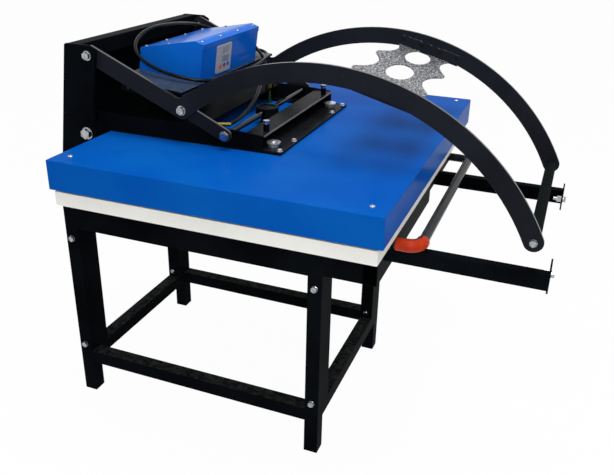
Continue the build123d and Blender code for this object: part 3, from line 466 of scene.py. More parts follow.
@dataclass(frozen=True)
class Finishes:
    """Every finish of the machine by the record's slot, and a few that vary one.

    Each comment says what the material is and, after the colon, what it gives the eye.
    """

    # Baked black powder paint on tubes and sheets: a deep, even black.
    black_paint: Finish = PowderCoat("black_powder_coat", "#07090C", 0.3, specular=0.0015,
                                     shade="#0D1014")
    # The same paint on the arms' flat bars: a softer, bluish charcoal.
    arm_paint: Finish = PowderCoat("arm_powder_coat", "#181A20", 0.36, specular=0.02,
                                   shade="#1F2128")
    # Glossier black paint on the shelf, coloured slate blue as a painted reflection of the
    # blue box, under dust: slate.
    shelf_paint: Finish = PowderCoat("shelf_paint_painted_reflection", "#1E2A3C", 0.3, specular=0.12,
                                     shade="#2E3A4C", dust=0.12)
    # Paint under a veil of dust on the beam: black with a grey sheen.
    dusty_paint: Finish = PowderCoat("dusty_powder_coat", "#090A0D", 0.26, specular=0.012,
                                     dust=0.03)
    # Paint with workshop dust on upward faces: grey-green flecks.
    floor_dust: Finish = PowderCoat("dusty_frame_paint", "#07090C", 0.3, specular=0.0015,
                                    shade="#0D1014", dust=0.2, dust_colour="#6E756F")
    # Light grey painted on the rounded edges of the black parts as a painted highlight: a fine
    # grey outline.
    worn_edge: Finish = PowderCoat("painted_grey_edge_highlight", "#6A6C70", 0.3, specular=0.4,
                                   shade="#85878A")
    # Soft grey painted on the beam's rolled front edge as a painted highlight: one soft grey
    # line.
    rolled_edge: Finish = PowderCoat("painted_rolled_edge_highlight", "#3E3F42", 0.3, specular=0.12,
                                     shade="#505154")
    # The cut edges of the bars, glossier than their sides and painted a lighter grey as a
    # painted highlight: a bright rim.
    cut_edge: Finish = PowderCoat("painted_bar_rim_highlight", "#2A2B2E", 0.2, specular=0.6,
                                  shade="#333438")
    # Zinc on the clamp bolts, pale and partly matt so that they show lit in the channel's
    # shade, a painted light: light discs in the dark channel.
    clamp_zinc: Finish = PlatedSteel("zinc_with_painted_light", "#DADCDE", 0.22, metallic=0.7,
                                     stain="#84878B", grain_mm=9.0)
    # Saturated blue powder paint on the platen's cover: a calm, even blue.
    blue_paint: Finish = PowderCoat("blue_powder_coat", "#0450AA", 0.2, specular=0.004,
                                    shade="#0858AE", peel_depth_mm=0.004)
    # A slightly lighter blue on the control box: smooth sheet metal.
    box_paint: Finish = PowderCoat("box_blue_powder_coat", "#0A63C8", 0.16, specular=0.02,
                                   shade="#0B5AB8", peel_depth_mm=0.004)
    # A paler blue painted where the folds would catch the light, a painted highlight: a paler
    # line.
    blue_edge: Finish = PowderCoat("painted_blue_fold_highlight", "#4F94D6", 0.24, specular=0.4,
                                   shade="#64A0DC")
    # Zinc-plated bolt heads and washers, clouded with dark patches as painted reflections:
    # clouded silver.
    bright_steel: Finish = PlatedSteel("bright_plated_steel", "#B2B5B8", 0.14, metallic=1.0,
                                       stain="#5A5E64", grain_mm=9.0)
    # Near-white metal on the rounded bolt edges as a painted highlight: sharp glints.
    polished_edge: Finish = PlatedSteel("painted_steel_edge_glint", "#F2F3F4", 0.12, metallic=1.0,
                                        stain="#D8DADC")
    # Chrome on the rod and the lower screws, darkened as a painted reflection of a dark room:
    # a dark mirror with thin lights.
    dark_chrome: Finish = PlatedSteel("dark_chrome", "#282A2E", 0.08, metallic=1.0,
                                      stain="#222428", grain_mm=30.0)
    # Yellow passivated zinc on the stud and the sleeve: dull gold.
    yellow_zinc: Finish = PlatedSteel("yellow_passivated_zinc", "#B09840", 0.22, metallic=1.0,
                                      stain="#96873A", grain_mm=16.0)
    # Black oxide on the small screws: dark, dry dots.
    black_screws: Finish = PlatedSteel("black_oxide", "#101114", 0.35, metallic=0.6,
                                       stain="#08090A")
    # Turned steel rollers: plain bright metal.
    roller_steel: Finish = PlatedSteel("turned_steel", "#A0A09D", 0.26, metallic=1.0,
                                       stain="#8A8A86")
    # Silver hammer paint on the perforated plate: coarse sparkle.
    hammertone: Finish = HammerPaint("hammer_paint", "#C6C7CD", 0.34, metallic=0.4)
    # Foam rubber on the handle bar: matt black with fine pores.
    grip_foam: Finish = PorousFoam("grip_foam", "#0F1415", 0.9, specular=0.03)
    # Light grey moulded controller face: office plastic.
    bezel: Finish = Moulded("bezel_plastic", "#A2A3AB", 0.45, specular=0.3, shade="#96979F")
    # Switched-off display windows: a cool smoked grey.
    display: Finish = Moulded("display_window", "#75848A", 0.2, specular=0.3, shade="#6A787D",
                              grain_depth_mm=0.002)
    # The red key's plastic: a warm signal red.
    red_button: Finish = Moulded("red_key", "#CC4A34", 0.35, specular=0.3, shade="#BC3E2A")
    # The blue keys' plastic: a deep blue.
    blue_button: Finish = Moulded("blue_key", "#23489C", 0.35, specular=0.3, shade="#1E3F8A")
    # Black nylon glands and reliefs: a satin black.
    gland_plastic: Finish = Moulded("black_nylon", "#08090A", 0.4, specular=0.25,
                                    shade="#0D0E10")
    # The cables' sheath: black with one sharp highlight.
    cable_rubber: Finish = Moulded("cable_sheath", "#050608", 0.16, specular=0.12,
                                   shade="#090B0E", grain_depth_mm=0.006)
    # Mineral fibre board inside the cover: a dusty cream.
    insulation: Finish = MineralBoard("mineral_fibre_board", "#CFC5AC", 0.95)
    # Cast aluminium heater plate: dull silver.
    heater_metal: Finish = PlatedSteel("cast_aluminium", "#B9B9B7", 0.38, metallic=1.0)
    # Black paint on the pull tube: a grey light along its top.
    handle_paint: Finish = PowderCoat("handle_paint", "#18191C", 0.26, specular=0.1,
                                      shade="#28292C")
    # Orange moulded corner guard: a strong, slightly matt orange.
    orange_guard: Finish = Moulded("orange_plastic", "#B83412", 0.36, specular=0.1,
                                   shade="#A02C10", grain_mm=2.0)
    # White paint on the bed board: warm white.
    white_board: Finish = PowderCoat("white_board_paint", "#F4F3EE", 0.4, specular=0.2,
                                     shade="#ECEBE4", peel_mm=4.0)
    # Silicone sponge pad: soft tan.
    silicone: Finish = Moulded("silicone_sponge", "#C9A68C", 0.8, specular=0.2,
                               shade="#BE9A80")


class Workshop:
    """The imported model, its materials and the modelling steps that every piece shares."""

    def __init__(self) -> None:
        """Loads the frame and makes every material."""
        self.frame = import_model()
        self.nodes: dict[str, Piece] = self.frame["nodes"]
        self.body_of = {
            node: body
            for body, members in self.frame["record"]["behaviour"]["bodies"].items()
            for node in members
        }
        self.slot_of = {
            part["node"]: part["material_slot"] for part in self.frame["record"]["subparts"]
        }
        finishes = Finishes()
        self.materials = {
            name: getattr(finishes, name).build() for name in finishes.__dataclass_fields__
        }
        self.deselect()

    def deselect(self) -> None:
        """Leaves nothing selected."""
        bpy.ops.object.select_all(action="DESELECT")

    def pick(self, *objects: Piece) -> None:
        """Selects only these objects and makes the first one active."""
        self.deselect()
        for piece in objects:
            piece.select_set(True)
        bpy.context.view_layer.objects.active = objects[0]

    def dress(self, piece: Piece, *finishes: str) -> None:
        """Gives a piece its finishes.

        Args:
            piece: The object.
            finishes: The finish of each layer in turn.
        """
        piece.data.materials.clear()
        for finish in finishes:
            piece.data.materials.append(self.materials[finish])

    def dress_nodes(self) -> None:
        """Gives every CAD node the finish of its slot."""
        for name, node in self.nodes.items():
            self.dress(node, self.slot_of[name])

    def edit_all(self) -> None:
        """Opens the active piece for editing, with everything selected."""
        bpy.ops.object.mode_set(mode="EDIT")
        bpy.ops.mesh.select_all(action="SELECT")

    def apply_place(self, piece: Piece) -> None:
        """Moves a piece's place into its mesh."""
        self.pick(piece)
        bpy.ops.object.transform_apply(location=True, rotation=True, scale=True)

    def apply_modifiers(self, piece: Piece) -> None:
        """Applies every modifier of a piece in order."""
        self.pick(piece)
        for modifier in list(piece.modifiers):
            bpy.ops.object.modifier_apply(modifier=modifier.name)

    def soften(self, piece: Piece, width: float, segments: int = 2,
               angle: float = SHARP_DEGREES, edges: Layer = Layer.KEEP) -> None:
        """Rounds a piece's sharp edges and smooths the rest.

        Args:
            piece: The mesh object.
            width: The bevel's width.
            segments: The steps across the bevel.
            angle: The least angle, in degrees, of an edge that counts as sharp.
            edges: The layer of the rounded edges, or KEEP for their neighbours'.
        """
        bevel = piece.modifiers.new("edge", "BEVEL")
        bevel.width = width
        bevel.segments = segments
        bevel.limit_method = "ANGLE"
        bevel.angle_limit = math.radians(angle)
        bevel.material = edges
        self.apply_modifiers(piece)
        bpy.ops.object.shade_smooth_by_angle(angle=math.radians(SMOOTH_DEGREES))
        flatten = piece.modifiers.new("normals", "WEIGHTED_NORMAL")
        flatten.keep_sharp = True
        self.apply_modifiers(piece)

    def join(self, name: str, pieces: list[Piece]) -> Piece:
        """Joins pieces to one object.

        Args:
            name: The object's name.
            pieces: The pieces, of which the first is kept.

        Returns:
            The joined object.
        """
        self.pick(*pieces)
        if len(pieces) > 1:
            bpy.ops.object.join()
        pieces[0].name = name
        pieces[0].data.name = name
        return pieces[0]

    def span(self, node: str) -> tuple[Vector, Vector]:
        """The lowest and highest corner of a CAD node."""
        piece = self.nodes[node]
        places = [piece.matrix_world @ v.co for v in piece.data.vertices]
        low = Vector([min(p[i] for p in places) for i in range(3)])
        high = Vector([max(p[i] for p in places) for i in range(3)])
        return low, high

    def stand_for(self, piece: Piece, finishes: tuple[str, ...],
                  *nodes: str) -> None:
        """Dresses a finished piece that takes the place of CAD nodes on one body.

        Args:
            piece: The finished piece.
            finishes: The finish of each of its layers.
            nodes: The CAD nodes that it replaces.
        """
        self.dress(piece, *finishes)
        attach(piece, self.body_of[nodes[0]])
        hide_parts(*nodes)
        LOG.info("%s stands for %s", piece.name, ", ".join(nodes))

    def paint_faces(self, piece: Piece, layer: Layer,
                    test: Callable[[bpy.types.MeshPolygon], bool]) -> None:
        """Gives a layer to some faces.

        Args:
            piece: The mesh object.
            layer: The layer that the faces get.
            test: Says whether a face gets it.
        """
        for face in piece.data.polygons:
            if test(face):
                face.material_index = layer

    def clean_copy(self, node: str) -> Piece:
        """Copies a CAD node to a mesh of closed, flat faces.

        Args:
            node: The CAD node.

        Returns:
            The copy, not yet dressed.
        """
        piece = add_object(f"{node}_eased", self.nodes[node].data.copy())
        self.pick(piece)
        self.edit_all()
        bpy.ops.mesh.remove_doubles(threshold=MERGE_WIDTH)
        bpy.ops.mesh.dissolve_limited(angle_limit=math.radians(FLAT_DEGREES))
        bpy.ops.object.mode_set(mode="OBJECT")
        if piece.data.has_custom_normals:
            bpy.ops.mesh.customdata_custom_splitnormals_clear()
        return piece

    def block(self, low: Point, high: Point) -> Piece:
        """Adds a box.

        Args:
            low: Its lowest corner.
            high: Its highest corner.

        Returns:
            The box, with its size still in the object's scale.
        """
        self.deselect()
        middle = (Vector(low) + Vector(high)) / 2
        size = Vector(high) - Vector(low)
        bpy.ops.mesh.primitive_cube_add(size=1, location=middle, scale=size)
        return bpy.context.active_object

    def turned(self, sides: int, radius: float, steps: list[Span]) -> Piece:
        """Models a turned piece that grows along z from a disc at the origin.

        Args:
            sides: The number of sides round it.
            radius: The disc's radius.
            steps: The length and the end radius of each stretch.

        Returns:
            The piece.
        """
        self.deselect()
        bpy.ops.mesh.primitive_circle_add(vertices=sides, radius=radius, fill_type="NGON")
        piece = bpy.context.active_object
        self.edit_all()
        for length, end in steps:
            bpy.ops.mesh.extrude_region_move(
                TRANSFORM_OT_translate={"value": (0, 0, length)})
            bpy.ops.transform.resize(value=(end / radius, end / radius, 1))
            radius = end
        bpy.ops.mesh.select_all(action="SELECT")
        bpy.ops.mesh.normals_make_consistent(inside=False)
        bpy.ops.object.mode_set(mode="OBJECT")
        return piece

    def cut(self, piece: Piece, low: Point, high: Point) -> None:
        """Cuts a box out of a piece.

        Args:
            piece: The mesh object.
            low: The box's lowest corner.
            high: Its highest corner.
        """
        block = self.block(low, high)
        away = piece.modifiers.new("cut", "BOOLEAN")
        away.operation = "DIFFERENCE"
        away.object = block
        self.apply_modifiers(piece)
        bpy.data.objects.remove(block)

    def eased_copy(self, node: str, width: float, finishes: tuple[str, ...] = (),
                   segments: int = 2) -> Piece:
        """Replaces a CAD node by a copy with its sharp edges rounded.

        Args:
            node: The CAD node.
            width: The bevel's width.
            finishes: The finish and that of its edges, or nothing for the slot's own.
            segments: The steps across the bevel.

        Returns:
            The new piece.
        """
        piece = self.clean_copy(node)
        edges = Layer.EDGE if len(finishes) > 1 else Layer.KEEP
        self.soften(piece, width, segments, edges=edges)
        self.stand_for(piece, finishes or (self.slot_of[node],), node)
        return piece


@dataclass(frozen=True)
class Lamp:
    """A soft square lamp and the place that it is turned to."""

    name: str
    place: Point
    target: Point
    size: float
    watts: float


@dataclass
class Studio:
    """The camera at the photograph's viewpoint, the pale floor and the soft lamps."""

    camera_place: Point = (-1.7906, -0.6434, 1.4372)
    yaw: float = 1.2122
    pitch: float = 0.4208
    roll: float = 0.0236
    lens_mm: float = 41.61
    shift_x: float = -0.0042
    shift_y: float = -0.0293
    floor_size: float = 30.0
    floor_glow: float = 0.97
    room_light: float = 0.46
    lamps: tuple[Lamp, ...] = (
        Lamp("overhead", (-0.6, -0.2, 3.4), (0.0, 0.0, 0.8), 1.4, 52.0),
        Lamp("left", (-3.2, -1.2, 2.4), (0.0, 0.0, 0.7), 0.9, 40.0),
        Lamp("front", (0.8, -3.6, 2.2), (0.0, 0.0, 0.7), 1.4, 9.0),
    )
    floor_depth: float = 0.5 * MM
    floor_colour: str = "#F4F4F4"
    white: str = "#FFFFFF"

    def add_camera(self) -> None:
        """Adds the camera."""
        data = bpy.data.cameras.new("camera")
        camera = add_object("camera", data)
        turn = Matrix.Rotation(-self.yaw, 4, "Z")
        turn @= Matrix.Rotation(QUARTER_TURN - self.pitch, 4, "X")
        turn @= Matrix.Rotation(self.roll, 4, "Z")
        camera.matrix_world = Matrix.Translation(self.camera_place) @ turn
        data.lens = self.lens_mm
        data.shift_x = self.shift_x
        data.shift_y = self.shift_y
        bpy.context.scene.camera = camera

    def show(self, tree: Tree, lit: Socket, seen: Socket, share: float = 1.0) -> Socket:
        """Mixes what lights the machine with what the camera and mirrors see.

        Args:
            tree: The tree of the floor or the world.
            lit: The shader for the light.
            seen: The shader for camera, mirror and glass rays.
            share: How much of it these rays see.

        Returns:
            The mixed shader.
        """
        ray = put(tree, "ShaderNodeLightPath").outputs
        rays = combine(tree, "MAXIMUM", ray["Is Camera Ray"], ray["Is Transmission Ray"])
        rays = combine(tree, "MAXIMUM", rays, ray["Is Glossy Ray"])
        mix = put(tree, "ShaderNodeMixShader", {}, {
            "Fac": spread(tree, rays, (0.0, 1.0), (0.0, share)),
        })
        tree.links.new(lit, mix.inputs[1])
        tree.links.new(seen, mix.inputs[2])
        return mix.outputs[0]

    def add_floor(self) -> None:
        """Adds the pale floor, which keeps a share of the machine's shadow."""
        bpy.ops.object.select_all(action="DESELECT")
        place = (0, 0, -self.floor_depth)
        bpy.ops.mesh.primitive_plane_add(size=self.floor_size, location=place)
        floor = bpy.context.active_object
        floor.name = "floor"
        material = bpy.data.materials.new("pale_floor")
        tree = bare_tree(material)
        matt = put(tree, "ShaderNodeBsdfDiffuse", {"Color": linear(self.floor_colour)})
        glow = put(tree, "ShaderNodeEmission", {"Color": linear(self.white), "Strength": 1.0})
        mix = self.show(tree, matt.outputs[0], glow.outputs[0], self.floor_glow)
        put(tree, "ShaderNodeOutputMaterial", {}, {"Surface": mix})
        floor.data.materials.append(material)

    def add_world(self) -> None:
        """Lights the room evenly and shows white to the camera and in reflections."""
        world = bpy.data.worlds.new("studio")
        bpy.context.scene.world = world
        tree = bare_tree(world)
        room, white = (
            put(tree, "ShaderNodeBackground", {"Color": linear(self.white), "Strength": light})
            for light in (self.room_light, 1.0)
        )
        mix = self.show(tree, room.outputs[0], white.outputs[0])
        put(tree, "ShaderNodeOutputWorld", {}, {"Surface": mix})

    def add_lamps(self) -> None:
        """Adds the soft square lamps, each turned to its target."""
        for lamp in self.lamps:
            data = bpy.data.lights.new(lamp.name, "AREA")
            data.size = lamp.size
            data.energy = lamp.watts
            piece = add_object(lamp.name, data)
            piece.location = lamp.place
            look = Vector(lamp.target) - Vector(lamp.place)
            piece.rotation_euler = look.to_track_quat("-Z", "Y").to_euler()

    def build(self) -> None:
        """Adds everything round the machine."""
        self.add_camera()
        self.add_floor()
        self.add_world()
        self.add_lamps()
        bpy.context.scene.view_settings.view_transform = "Standard"


@dataclass
class Assembly:
    """A group of pieces and the workshop that makes them."""

    shop: Workshop


@dataclass
class Cables(Assembly):
    """The cable laid round the control box and the heater lead down to the left link."""

    diameter: float = 9 * MM
    section_steps: int = 5
    route_steps: int = 10
    order: int = 3
    loop_route: tuple[Point, ...] = (
        (0.181, 0.4091, 1.042), (0.214, 0.4091, 1.042), (0.243, 0.4241, 1.048),
        (0.252, 0.4531, 1.058), (0.238, 0.4811, 1.070), (0.206, 0.4981, 1.081),
        (0.160, 0.5001, 1.090), (0.098, 0.4951, 1.099), (0.030, 0.4921, 1.105),
        (-0.040, 0.4921, 1.108), (-0.097, 0.4911, 1.102), (-0.147, 0.4831, 1.088),
        (-0.185, 0.4631, 1.068), (-0.204, 0.4281, 1.048), (-0.209, 0.3881, 1.033),
        (-0.206, 0.3491, 1.022), (-0.201, 0.3111, 1.014), (-0.188, 0.2751, 1.008),
        (-0.162, 0.2491, 1.005), (-0.124, 0.2371, 1.003), (-0.076, 0.2361, 1.000),
        (-0.018, 0.2401, 0.998), (0.046, 0.2371, 0.999), (0.102, 0.2381, 1.001),
        (0.152, 0.2421, 1.004), (0.196, 0.2511, 1.007), (0.226, 0.2671, 1.010),
        (0.244, 0.2951, 1.013), (0.238, 0.3271, 1.014), (0.212, 0.3431, 1.014),
        (0.181, 0.3431, 1.014),
    )
    loop_length: float = 1.32
    lead_route: tuple[Point, ...] = (
        (0.181, 0.3761, 1.052), (0.210, 0.3761, 1.052), (0.234, 0.3631, 1.049),
        (0.240, 0.3371, 1.040), (0.231, 0.3131, 1.030), (0.216, 0.2921, 1.019),
        (0.200, 0.2721, 1.007), (0.187, 0.2561, 0.993), (0.171, 0.2441, 0.982),
        (0.140, 0.2330, 0.974), (0.092, 0.2170, 0.967), (0.044, 0.2020, 0.961),
        (0.008, 0.1895, 0.956), (-0.042, 0.1760, 0.944), (-0.087, 0.1712, 0.930),
        (-0.130, 0.1699, 0.918), (-0.170, 0.1705, 0.912), (-0.205, 0.1767, 0.9077),
    )
    lead_length: float = 0.605
    lead_bend_start: Point = (0.140, 0.2330, 0.974)
    lead_bend_end: Point = (-0.170, 0.1705, 0.912)
    sleeve_end: Point = (-0.2425, 0.1950, 0.9160)
    sleeve_radius: float = 4.7 * MM
    collar_radius: float = 5.3 * MM
    collar_length: float = 8 * MM
    collar_slope: float = 0.8 * MM
    sleeve_edge: float = 0.5 * MM
    sleeve_sides: int = 32
    sharp_degrees: float = 50.0

    def line(self, name: str, route: tuple[Point, ...]) -> Piece:
        """Adds a smooth curve with the route's points as its control points.

        Args:
            name: The curve's name.
            route: The control points.

        Returns:
            The curve.
        """
        curve = bpy.data.curves.new(name, "CURVE")
        curve.dimensions = "3D"
        curve.resolution_u = self.route_steps
        spline = curve.splines.new("NURBS")
        spline.points.add(len(route) - 1)
        for point, place in zip(spline.points, route):
            point.co = (*place, 1.0)
        spline.order_u = self.order
        spline.use_endpoint_u = True
        return add_object(name, curve)

    def thicken(self, piece: Piece) -> None:
        """Gives a curve the cable's round section."""
        piece.data.bevel_depth = self.diameter / 2
        piece.data.bevel_resolution = self.section_steps
        piece.data.use_fill_caps = True

    def sleeve(self) -> None:
        """Models the yellow sleeve on the end of the lead, with a collar."""
        start, end = Vector(self.lead_route[-1]), Vector(self.sleeve_end)
        rest = (end - start).length - self.collar_length - self.collar_slope
        piece = self.shop.turned(self.sleeve_sides, self.collar_radius, [
            (self.collar_length, self.collar_radius), (self.collar_slope, self.sleeve_radius),
            (rest, self.sleeve_radius),
        ])
        self.shop.soften(piece, self.sleeve_edge, angle=self.sharp_degrees)
        turn = (end - start).to_track_quat("Z", "Y").to_matrix().to_4x4()
        piece.data.transform(Matrix.Translation(start) @ turn)
        piece.name = "wire_sleeve"
        self.shop.stand_for(piece, ("yellow_zinc",), "lead_sleeve")

    def build(self) -> None:
        """Lays both cables."""
        loop = self.line("box_cable", self.loop_route)
        self.thicken(loop)
        self.shop.stand_for(loop, ("cable_rubber",), "cable_loop")
        self.sleeve()
        guide = self.line("lead_guide", self.lead_route)
        bpy.context.view_layer.update()
        path = [v.co.copy() for v in bpy.data.meshes.new_from_object(guide).vertices]
        self.thicken(guide)
        bpy.context.view_layer.update()
        tube = bpy.data.meshes.new_from_object(guide)
        lead = add_object("heater_lead", tube)
        bpy.data.objects.remove(guide)
        self.shop.pick(lead)
        bpy.ops.object.shade_smooth()
        self.shop.dress(lead, "cable_rubber")
        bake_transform(lead)
        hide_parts("cable_lead")
        LOG.info("%s stands for cable_lead", lead.name)


@dataclass
class SheetMetal(Assembly):
    """The painted tubes, bars and folded sheets, each with its edges rounded."""

    tube_edge: float = 1.6 * MM
    bar_edge: float = 0.8 * MM
    sheet_edge: float = 0.5 * MM
    cover_edge: float = 1.2 * MM
    tubes: tuple[str, ...] = ("table_top_frame", "rear_top_beam", "drawer_frame")
    low_tubes: tuple[str, ...] = (
        "left_leg_frame", "right_leg_frame", "front_leg_brace", "rear_leg_brace",
    )
    bars: tuple[str, ...] = (
        "left_side_plate", "right_side_plate", "left_runner_rail", "right_runner_rail",
        "rear_panel", "carrier_mid_plate",
    )
    rails: tuple[str, ...] = ("left_carrier_rail", "right_carrier_rail")
    top_normal: float = 0.7
    narrow_normal: float = 0.5
    side_normal: float = 0.9
    cut_room: float = 10 * MM
    shelf_slope: float = 5.8
    roll: float = 4 * MM
    roll_up: float = 0.1
    roll_front: Span = (0.05, 0.98)
    rail_end_y: float = 0.0625
    rail_toe_top: float = 0.8682
    lip_low: Point = (-0.270, 0.2735, 0.974)
    lip_high: Point = (0.270, 0.2765, 0.992)
    arms: tuple[str, ...] = ("left_arm", "right_arm", "left_link", "right_link")
    boxes: tuple[str, ...] = ("control_box_body", "control_box_lid")

    def trim_rail(self, node: str, finishes: tuple[str, ...]) -> None:
        """Ends a carrier rail upright at the front beam and leaves its low toe.

        Args:
            node: The rail.
            finishes: Its finish and that of its edges.
        """
        piece = self.shop.clean_copy(node)
        low, high = self.shop.span(node)
        room = self.cut_room
        start = (low.x - room, low.y - room, self.rail_toe_top)
        self.shop.cut(piece, start, (high.x + room, self.rail_end_y, high.z + room))
        self.shop.soften(piece, self.bar_edge, edges=Layer.EDGE)
        self.shop.stand_for(piece, finishes, node)

    def beam(self) -> None:
        """Rounds the front beam and paints a highlight along its rolled front edge."""
        piece = self.shop.eased_copy("front_beam", self.sheet_edge,
                                     ("dusty_paint", "rolled_edge"))
        high = max(vertex.co.z for vertex in piece.data.vertices)
        least, most = self.roll_front
        # Faces of the rolled edge that face up and forward get the painted highlight.
        self.shop.paint_faces(
            piece, Layer.EDGE, lambda face: face.center.z > high - self.roll
            and face.normal.z > self.roll_up and least < -face.normal.y < most)

    def front_lip(self) -> None:
        """Models the shelf's front edge, folded down between the arms."""
        piece = self.shop.block(self.lip_low, self.lip_high)
        self.shop.apply_place(piece)
        self.shop.edit_all()
        fold = (0, (self.lip_low[1] + self.lip_high[1]) / 2, self.lip_high[2])
        bpy.ops.transform.rotate(value=math.radians(-self.shelf_slope), orient_axis="X",
                                 center_override=fold)
        bpy.ops.object.mode_set(mode="OBJECT")
        piece.name = "shelf_front_lip"
        self.shop.soften(piece, self.sheet_edge, edges=Layer.EDGE)
        self.shop.dress(piece, "shelf_paint", "worn_edge")
        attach(piece, "arms")
        LOG.info("%s added", piece.name)

    def paint_shelf(self) -> None:
        """Rounds the shelf and paints its folded sides plain black."""
        piece = self.shop.eased_copy("control_shelf", self.bar_edge,
                                     ("shelf_paint", "worn_edge", "black_paint"))
        self.shop.paint_faces(
            piece, Layer.THIRD, lambda face: face.material_index == Layer.FACE
            and face.normal.z < self.top_normal)

    def build(self) -> None:
        """Rounds and paints every piece."""
        # The black parts carry the painted grey highlight on their rounded edges.
        black = ("black_paint", "worn_edge")
        for node in self.rails:
            self.trim_rail(node, black)
        self.paint_shelf()
        self.front_lip()
        for node in self.tubes:
            self.shop.eased_copy(node, self.tube_edge, black, segments=3)
        for node in self.low_tubes:
            self.shop.eased_copy(node, self.tube_edge, ("floor_dust", "worn_edge"), segments=3)
        for node in self.bars:
            self.shop.eased_copy(node, self.bar_edge, black)
        self.shop.eased_copy("platen_cover", self.cover_edge, ("blue_paint", "blue_edge"))
        for node in self.arms:
            piece = self.shop.eased_copy(node, self.bar_edge, ("arm_paint", "cut_edge"))
            # The narrow faces of the arms and links take the lighter grey as a painted
            # highlight.
            self.shop.paint_faces(
                piece, Layer.EDGE, lambda face: abs(face.normal.x) < self.narrow_normal)
        self.shop.eased_copy("rod_hub", self.sheet_edge, ("dusty_paint", "worn_edge"))
        self.beam()
        for node in self.boxes:
            self.shop.eased_copy(node, self.sheet_edge, ("box_paint", "blue_edge"))
        plate = self.shop.eased_copy("scalloped_plate", self.sheet_edge,
                                     ("hammertone", "hammertone", "arm_paint"))
        self.shop.paint_faces(
            plate, Layer.THIRD, lambda face: abs(face.normal.x) > self.side_normal)
        self.shop.eased_copy("bed_board", self.bar_edge)


@dataclass
class SmallParts(Assembly):
    """The fasteners, keys and glands, each with its edges rounded."""

    bolt_edge: float = 0.7 * MM
    screw_edge: float = 0.35 * MM
    bolts: tuple[str, ...] = (
        "frame_bolts", "stop_bolts", "arm_pivot_bolts", "platen_pivot_bolts",
        "handle_end_bolts", "link_top_bolts", "link_foot_bolts",
    )
    screws: tuple[str, ...] = ("left_pressure_screw", "right_pressure_screw")
    cap_height: float = 8.5 * MM
    stud_height: float = 40 * MM
    small: tuple[str, ...] = (
        "box_screws", "plate_screws", "controller_panel", "display_windows", "button_red",
        "button_up", "button_down", "cable_glands",
    )

    def darken_below(self, piece: Piece, height: float) -> None:
        """Gives the third finish to the faces further than height below the top."""
        high = max(vertex.co.z for vertex in piece.data.vertices)
        self.shop.paint_faces(piece, Layer.THIRD, lambda face: face.center.z < high - height)

    def build(self) -> None:
        """Rounds every piece."""
        for node in self.bolts:
            self.shop.eased_copy(node, self.bolt_edge,
                                 (self.shop.slot_of[node], "polished_edge"))
        self.shop.eased_copy("platen_screws", self.bolt_edge, ("clamp_zinc", "polished_edge"))
        for node in self.screws:
            # Below the cap the screws take the dark chrome, a painted reflection of a dark
            # room.
            finishes = (self.shop.slot_of[node], "polished_edge", "dark_chrome")
            piece = self.shop.eased_copy(node, self.bolt_edge, finishes)
            self.darken_below(piece, self.cap_height)
        stud = self.shop.eased_copy("mid_plate_studs", self.bolt_edge,
                                    ("yellow_zinc", "yellow_zinc", "black_paint"))
        self.darken_below(stud, self.stud_height)
        self.shop.dress(self.shop.nodes["cross_rod"], "dark_chrome")
        for node in self.small:
            self.shop.eased_copy(node, self.screw_edge)


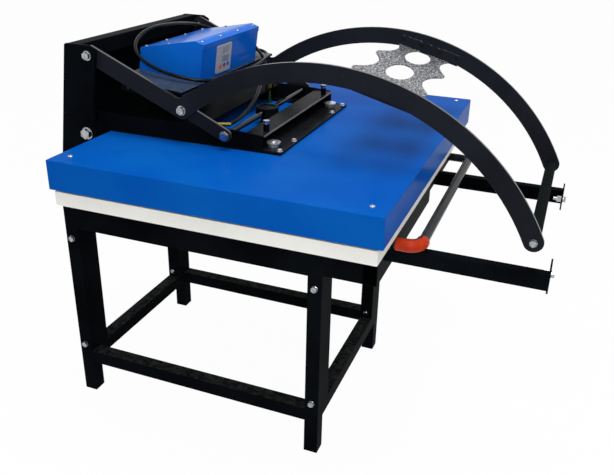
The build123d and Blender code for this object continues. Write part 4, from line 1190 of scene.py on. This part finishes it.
@dataclass
class SoftParts(Assembly):
    """The foam grip on the handle bar and the sponge pad on the bed."""

    groove_pitch: float = 68 * MM
    groove_width: float = 4 * MM
    groove_depth: float = 1.6 * MM
    ring_reach: float = 0.1 * MM
    end_edge: float = 3 * MM
    end_degrees: float = 60.0
    sides: int = 48
    pad_edge: float = 1.5 * MM

    def cut_ring(self, piece: Piece, x: float, middle: Vector, radius: float) -> None:
        """Presses one groove round the foam.

        Args:
            piece: The foam.
            x: The groove's place along it.
            middle: The foam's middle.
            radius: The foam's radius.
        """
        bpy.ops.object.mode_set(mode="EDIT")
        for step in (-1, 0, 1):
            bpy.ops.mesh.select_all(action="SELECT")
            place = (x + step * self.groove_width / 2, 0, 0)
            bpy.ops.mesh.bisect(plane_co=place, plane_no=(1, 0, 0))
        bpy.ops.mesh.select_all(action="DESELECT")
        bpy.ops.object.mode_set(mode="OBJECT")
        for vertex in piece.data.vertices:
            vertex.select = abs(vertex.co.x - x) < self.ring_reach
        bpy.ops.object.mode_set(mode="EDIT")
        share = 1 - self.groove_depth / radius
        bpy.ops.transform.resize(value=(1, share, share), center_override=(x, *middle[1:]))
        bpy.ops.object.mode_set(mode="OBJECT")

    def grip(self) -> None:
        """Models the foam sleeve with its rings."""
        low, high = self.shop.span("handle_grip")
        middle = (low + high) / 2
        radius = (high.z - low.z) / 2
        length = high.x - low.x
        self.shop.deselect()
        bpy.ops.mesh.primitive_cylinder_add(vertices=self.sides, radius=radius,
                                            depth=length, location=middle,
                                            rotation=(0, QUARTER_TURN, 0))
        piece = bpy.context.active_object
        self.shop.apply_place(piece)
        count = round(length / self.groove_pitch)
        for i in range(1, count):
            self.cut_ring(piece, low.x + i * length / count, middle, radius)
        self.shop.soften(piece, self.end_edge, 3, self.end_degrees)
        piece.name = "foam_grip"
        self.shop.stand_for(piece, ("grip_foam",), "handle_grip")

    def build(self) -> None:
        """Models both soft pieces."""
        self.grip()
        pad = self.shop.eased_copy("silicone_pad", self.pad_edge, segments=3)


@dataclass
class CableReliefs(Assembly):
    """The ribbed tapers on the cables where they leave the control box."""

    exits: tuple[Point, ...] = (
        Cables.loop_route[0], Cables.loop_route[-1], Cables.lead_route[0],
    )
    length: float = 24 * MM
    wide: float = 7.8 * MM
    narrow: float = 5.4 * MM
    rib_depth: float = 0.6 * MM
    rib_edge: float = 0.2 * MM
    rib_degrees: float = 20.0
    sides: int = 32
    ribs: int = 5

    def model(self) -> Piece:
        """Models one taper along +x with its wide end at the origin.

        Returns:
            The taper.
        """
        count = 2 * self.ribs
        steps = [
            (self.length / count,
             self.wide + (self.narrow - self.wide) * (i + 1) / count - i % 2 * self.rib_depth)
            for i in range(count)
        ]
        piece = self.shop.turned(self.sides, self.wide, steps)
        piece.data.transform(Matrix.Rotation(QUARTER_TURN, 4, "Y"))
        self.shop.soften(piece, self.rib_edge, angle=self.rib_degrees)
        return piece

    def build(self) -> None:
        """Sets a taper at every exit."""
        first = self.model()
        pieces = []
        for place in self.exits:
            piece = add_object("relief", first.data.copy())
            piece.data.transform(Matrix.Translation(place))
            pieces.append(piece)
        bpy.data.objects.remove(first)
        whole = self.shop.join("cable_reliefs", pieces)
        self.shop.dress(whole, "gland_plastic")
        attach(whole, "arms")
        LOG.info("%s added", whole.name)


def main() -> None:
    """Builds the studio and dresses the machine."""
    logging.basicConfig(level=logging.INFO, format="%(message)s")
    shop = Workshop()
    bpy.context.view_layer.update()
    Studio().build()
    shop.dress_nodes()
    Cables(shop).build()
    CableReliefs(shop).build()
    SheetMetal(shop).build()
    SmallParts(shop).build()
    SoftParts(shop).build()


if __name__ == "__main__":
    main()
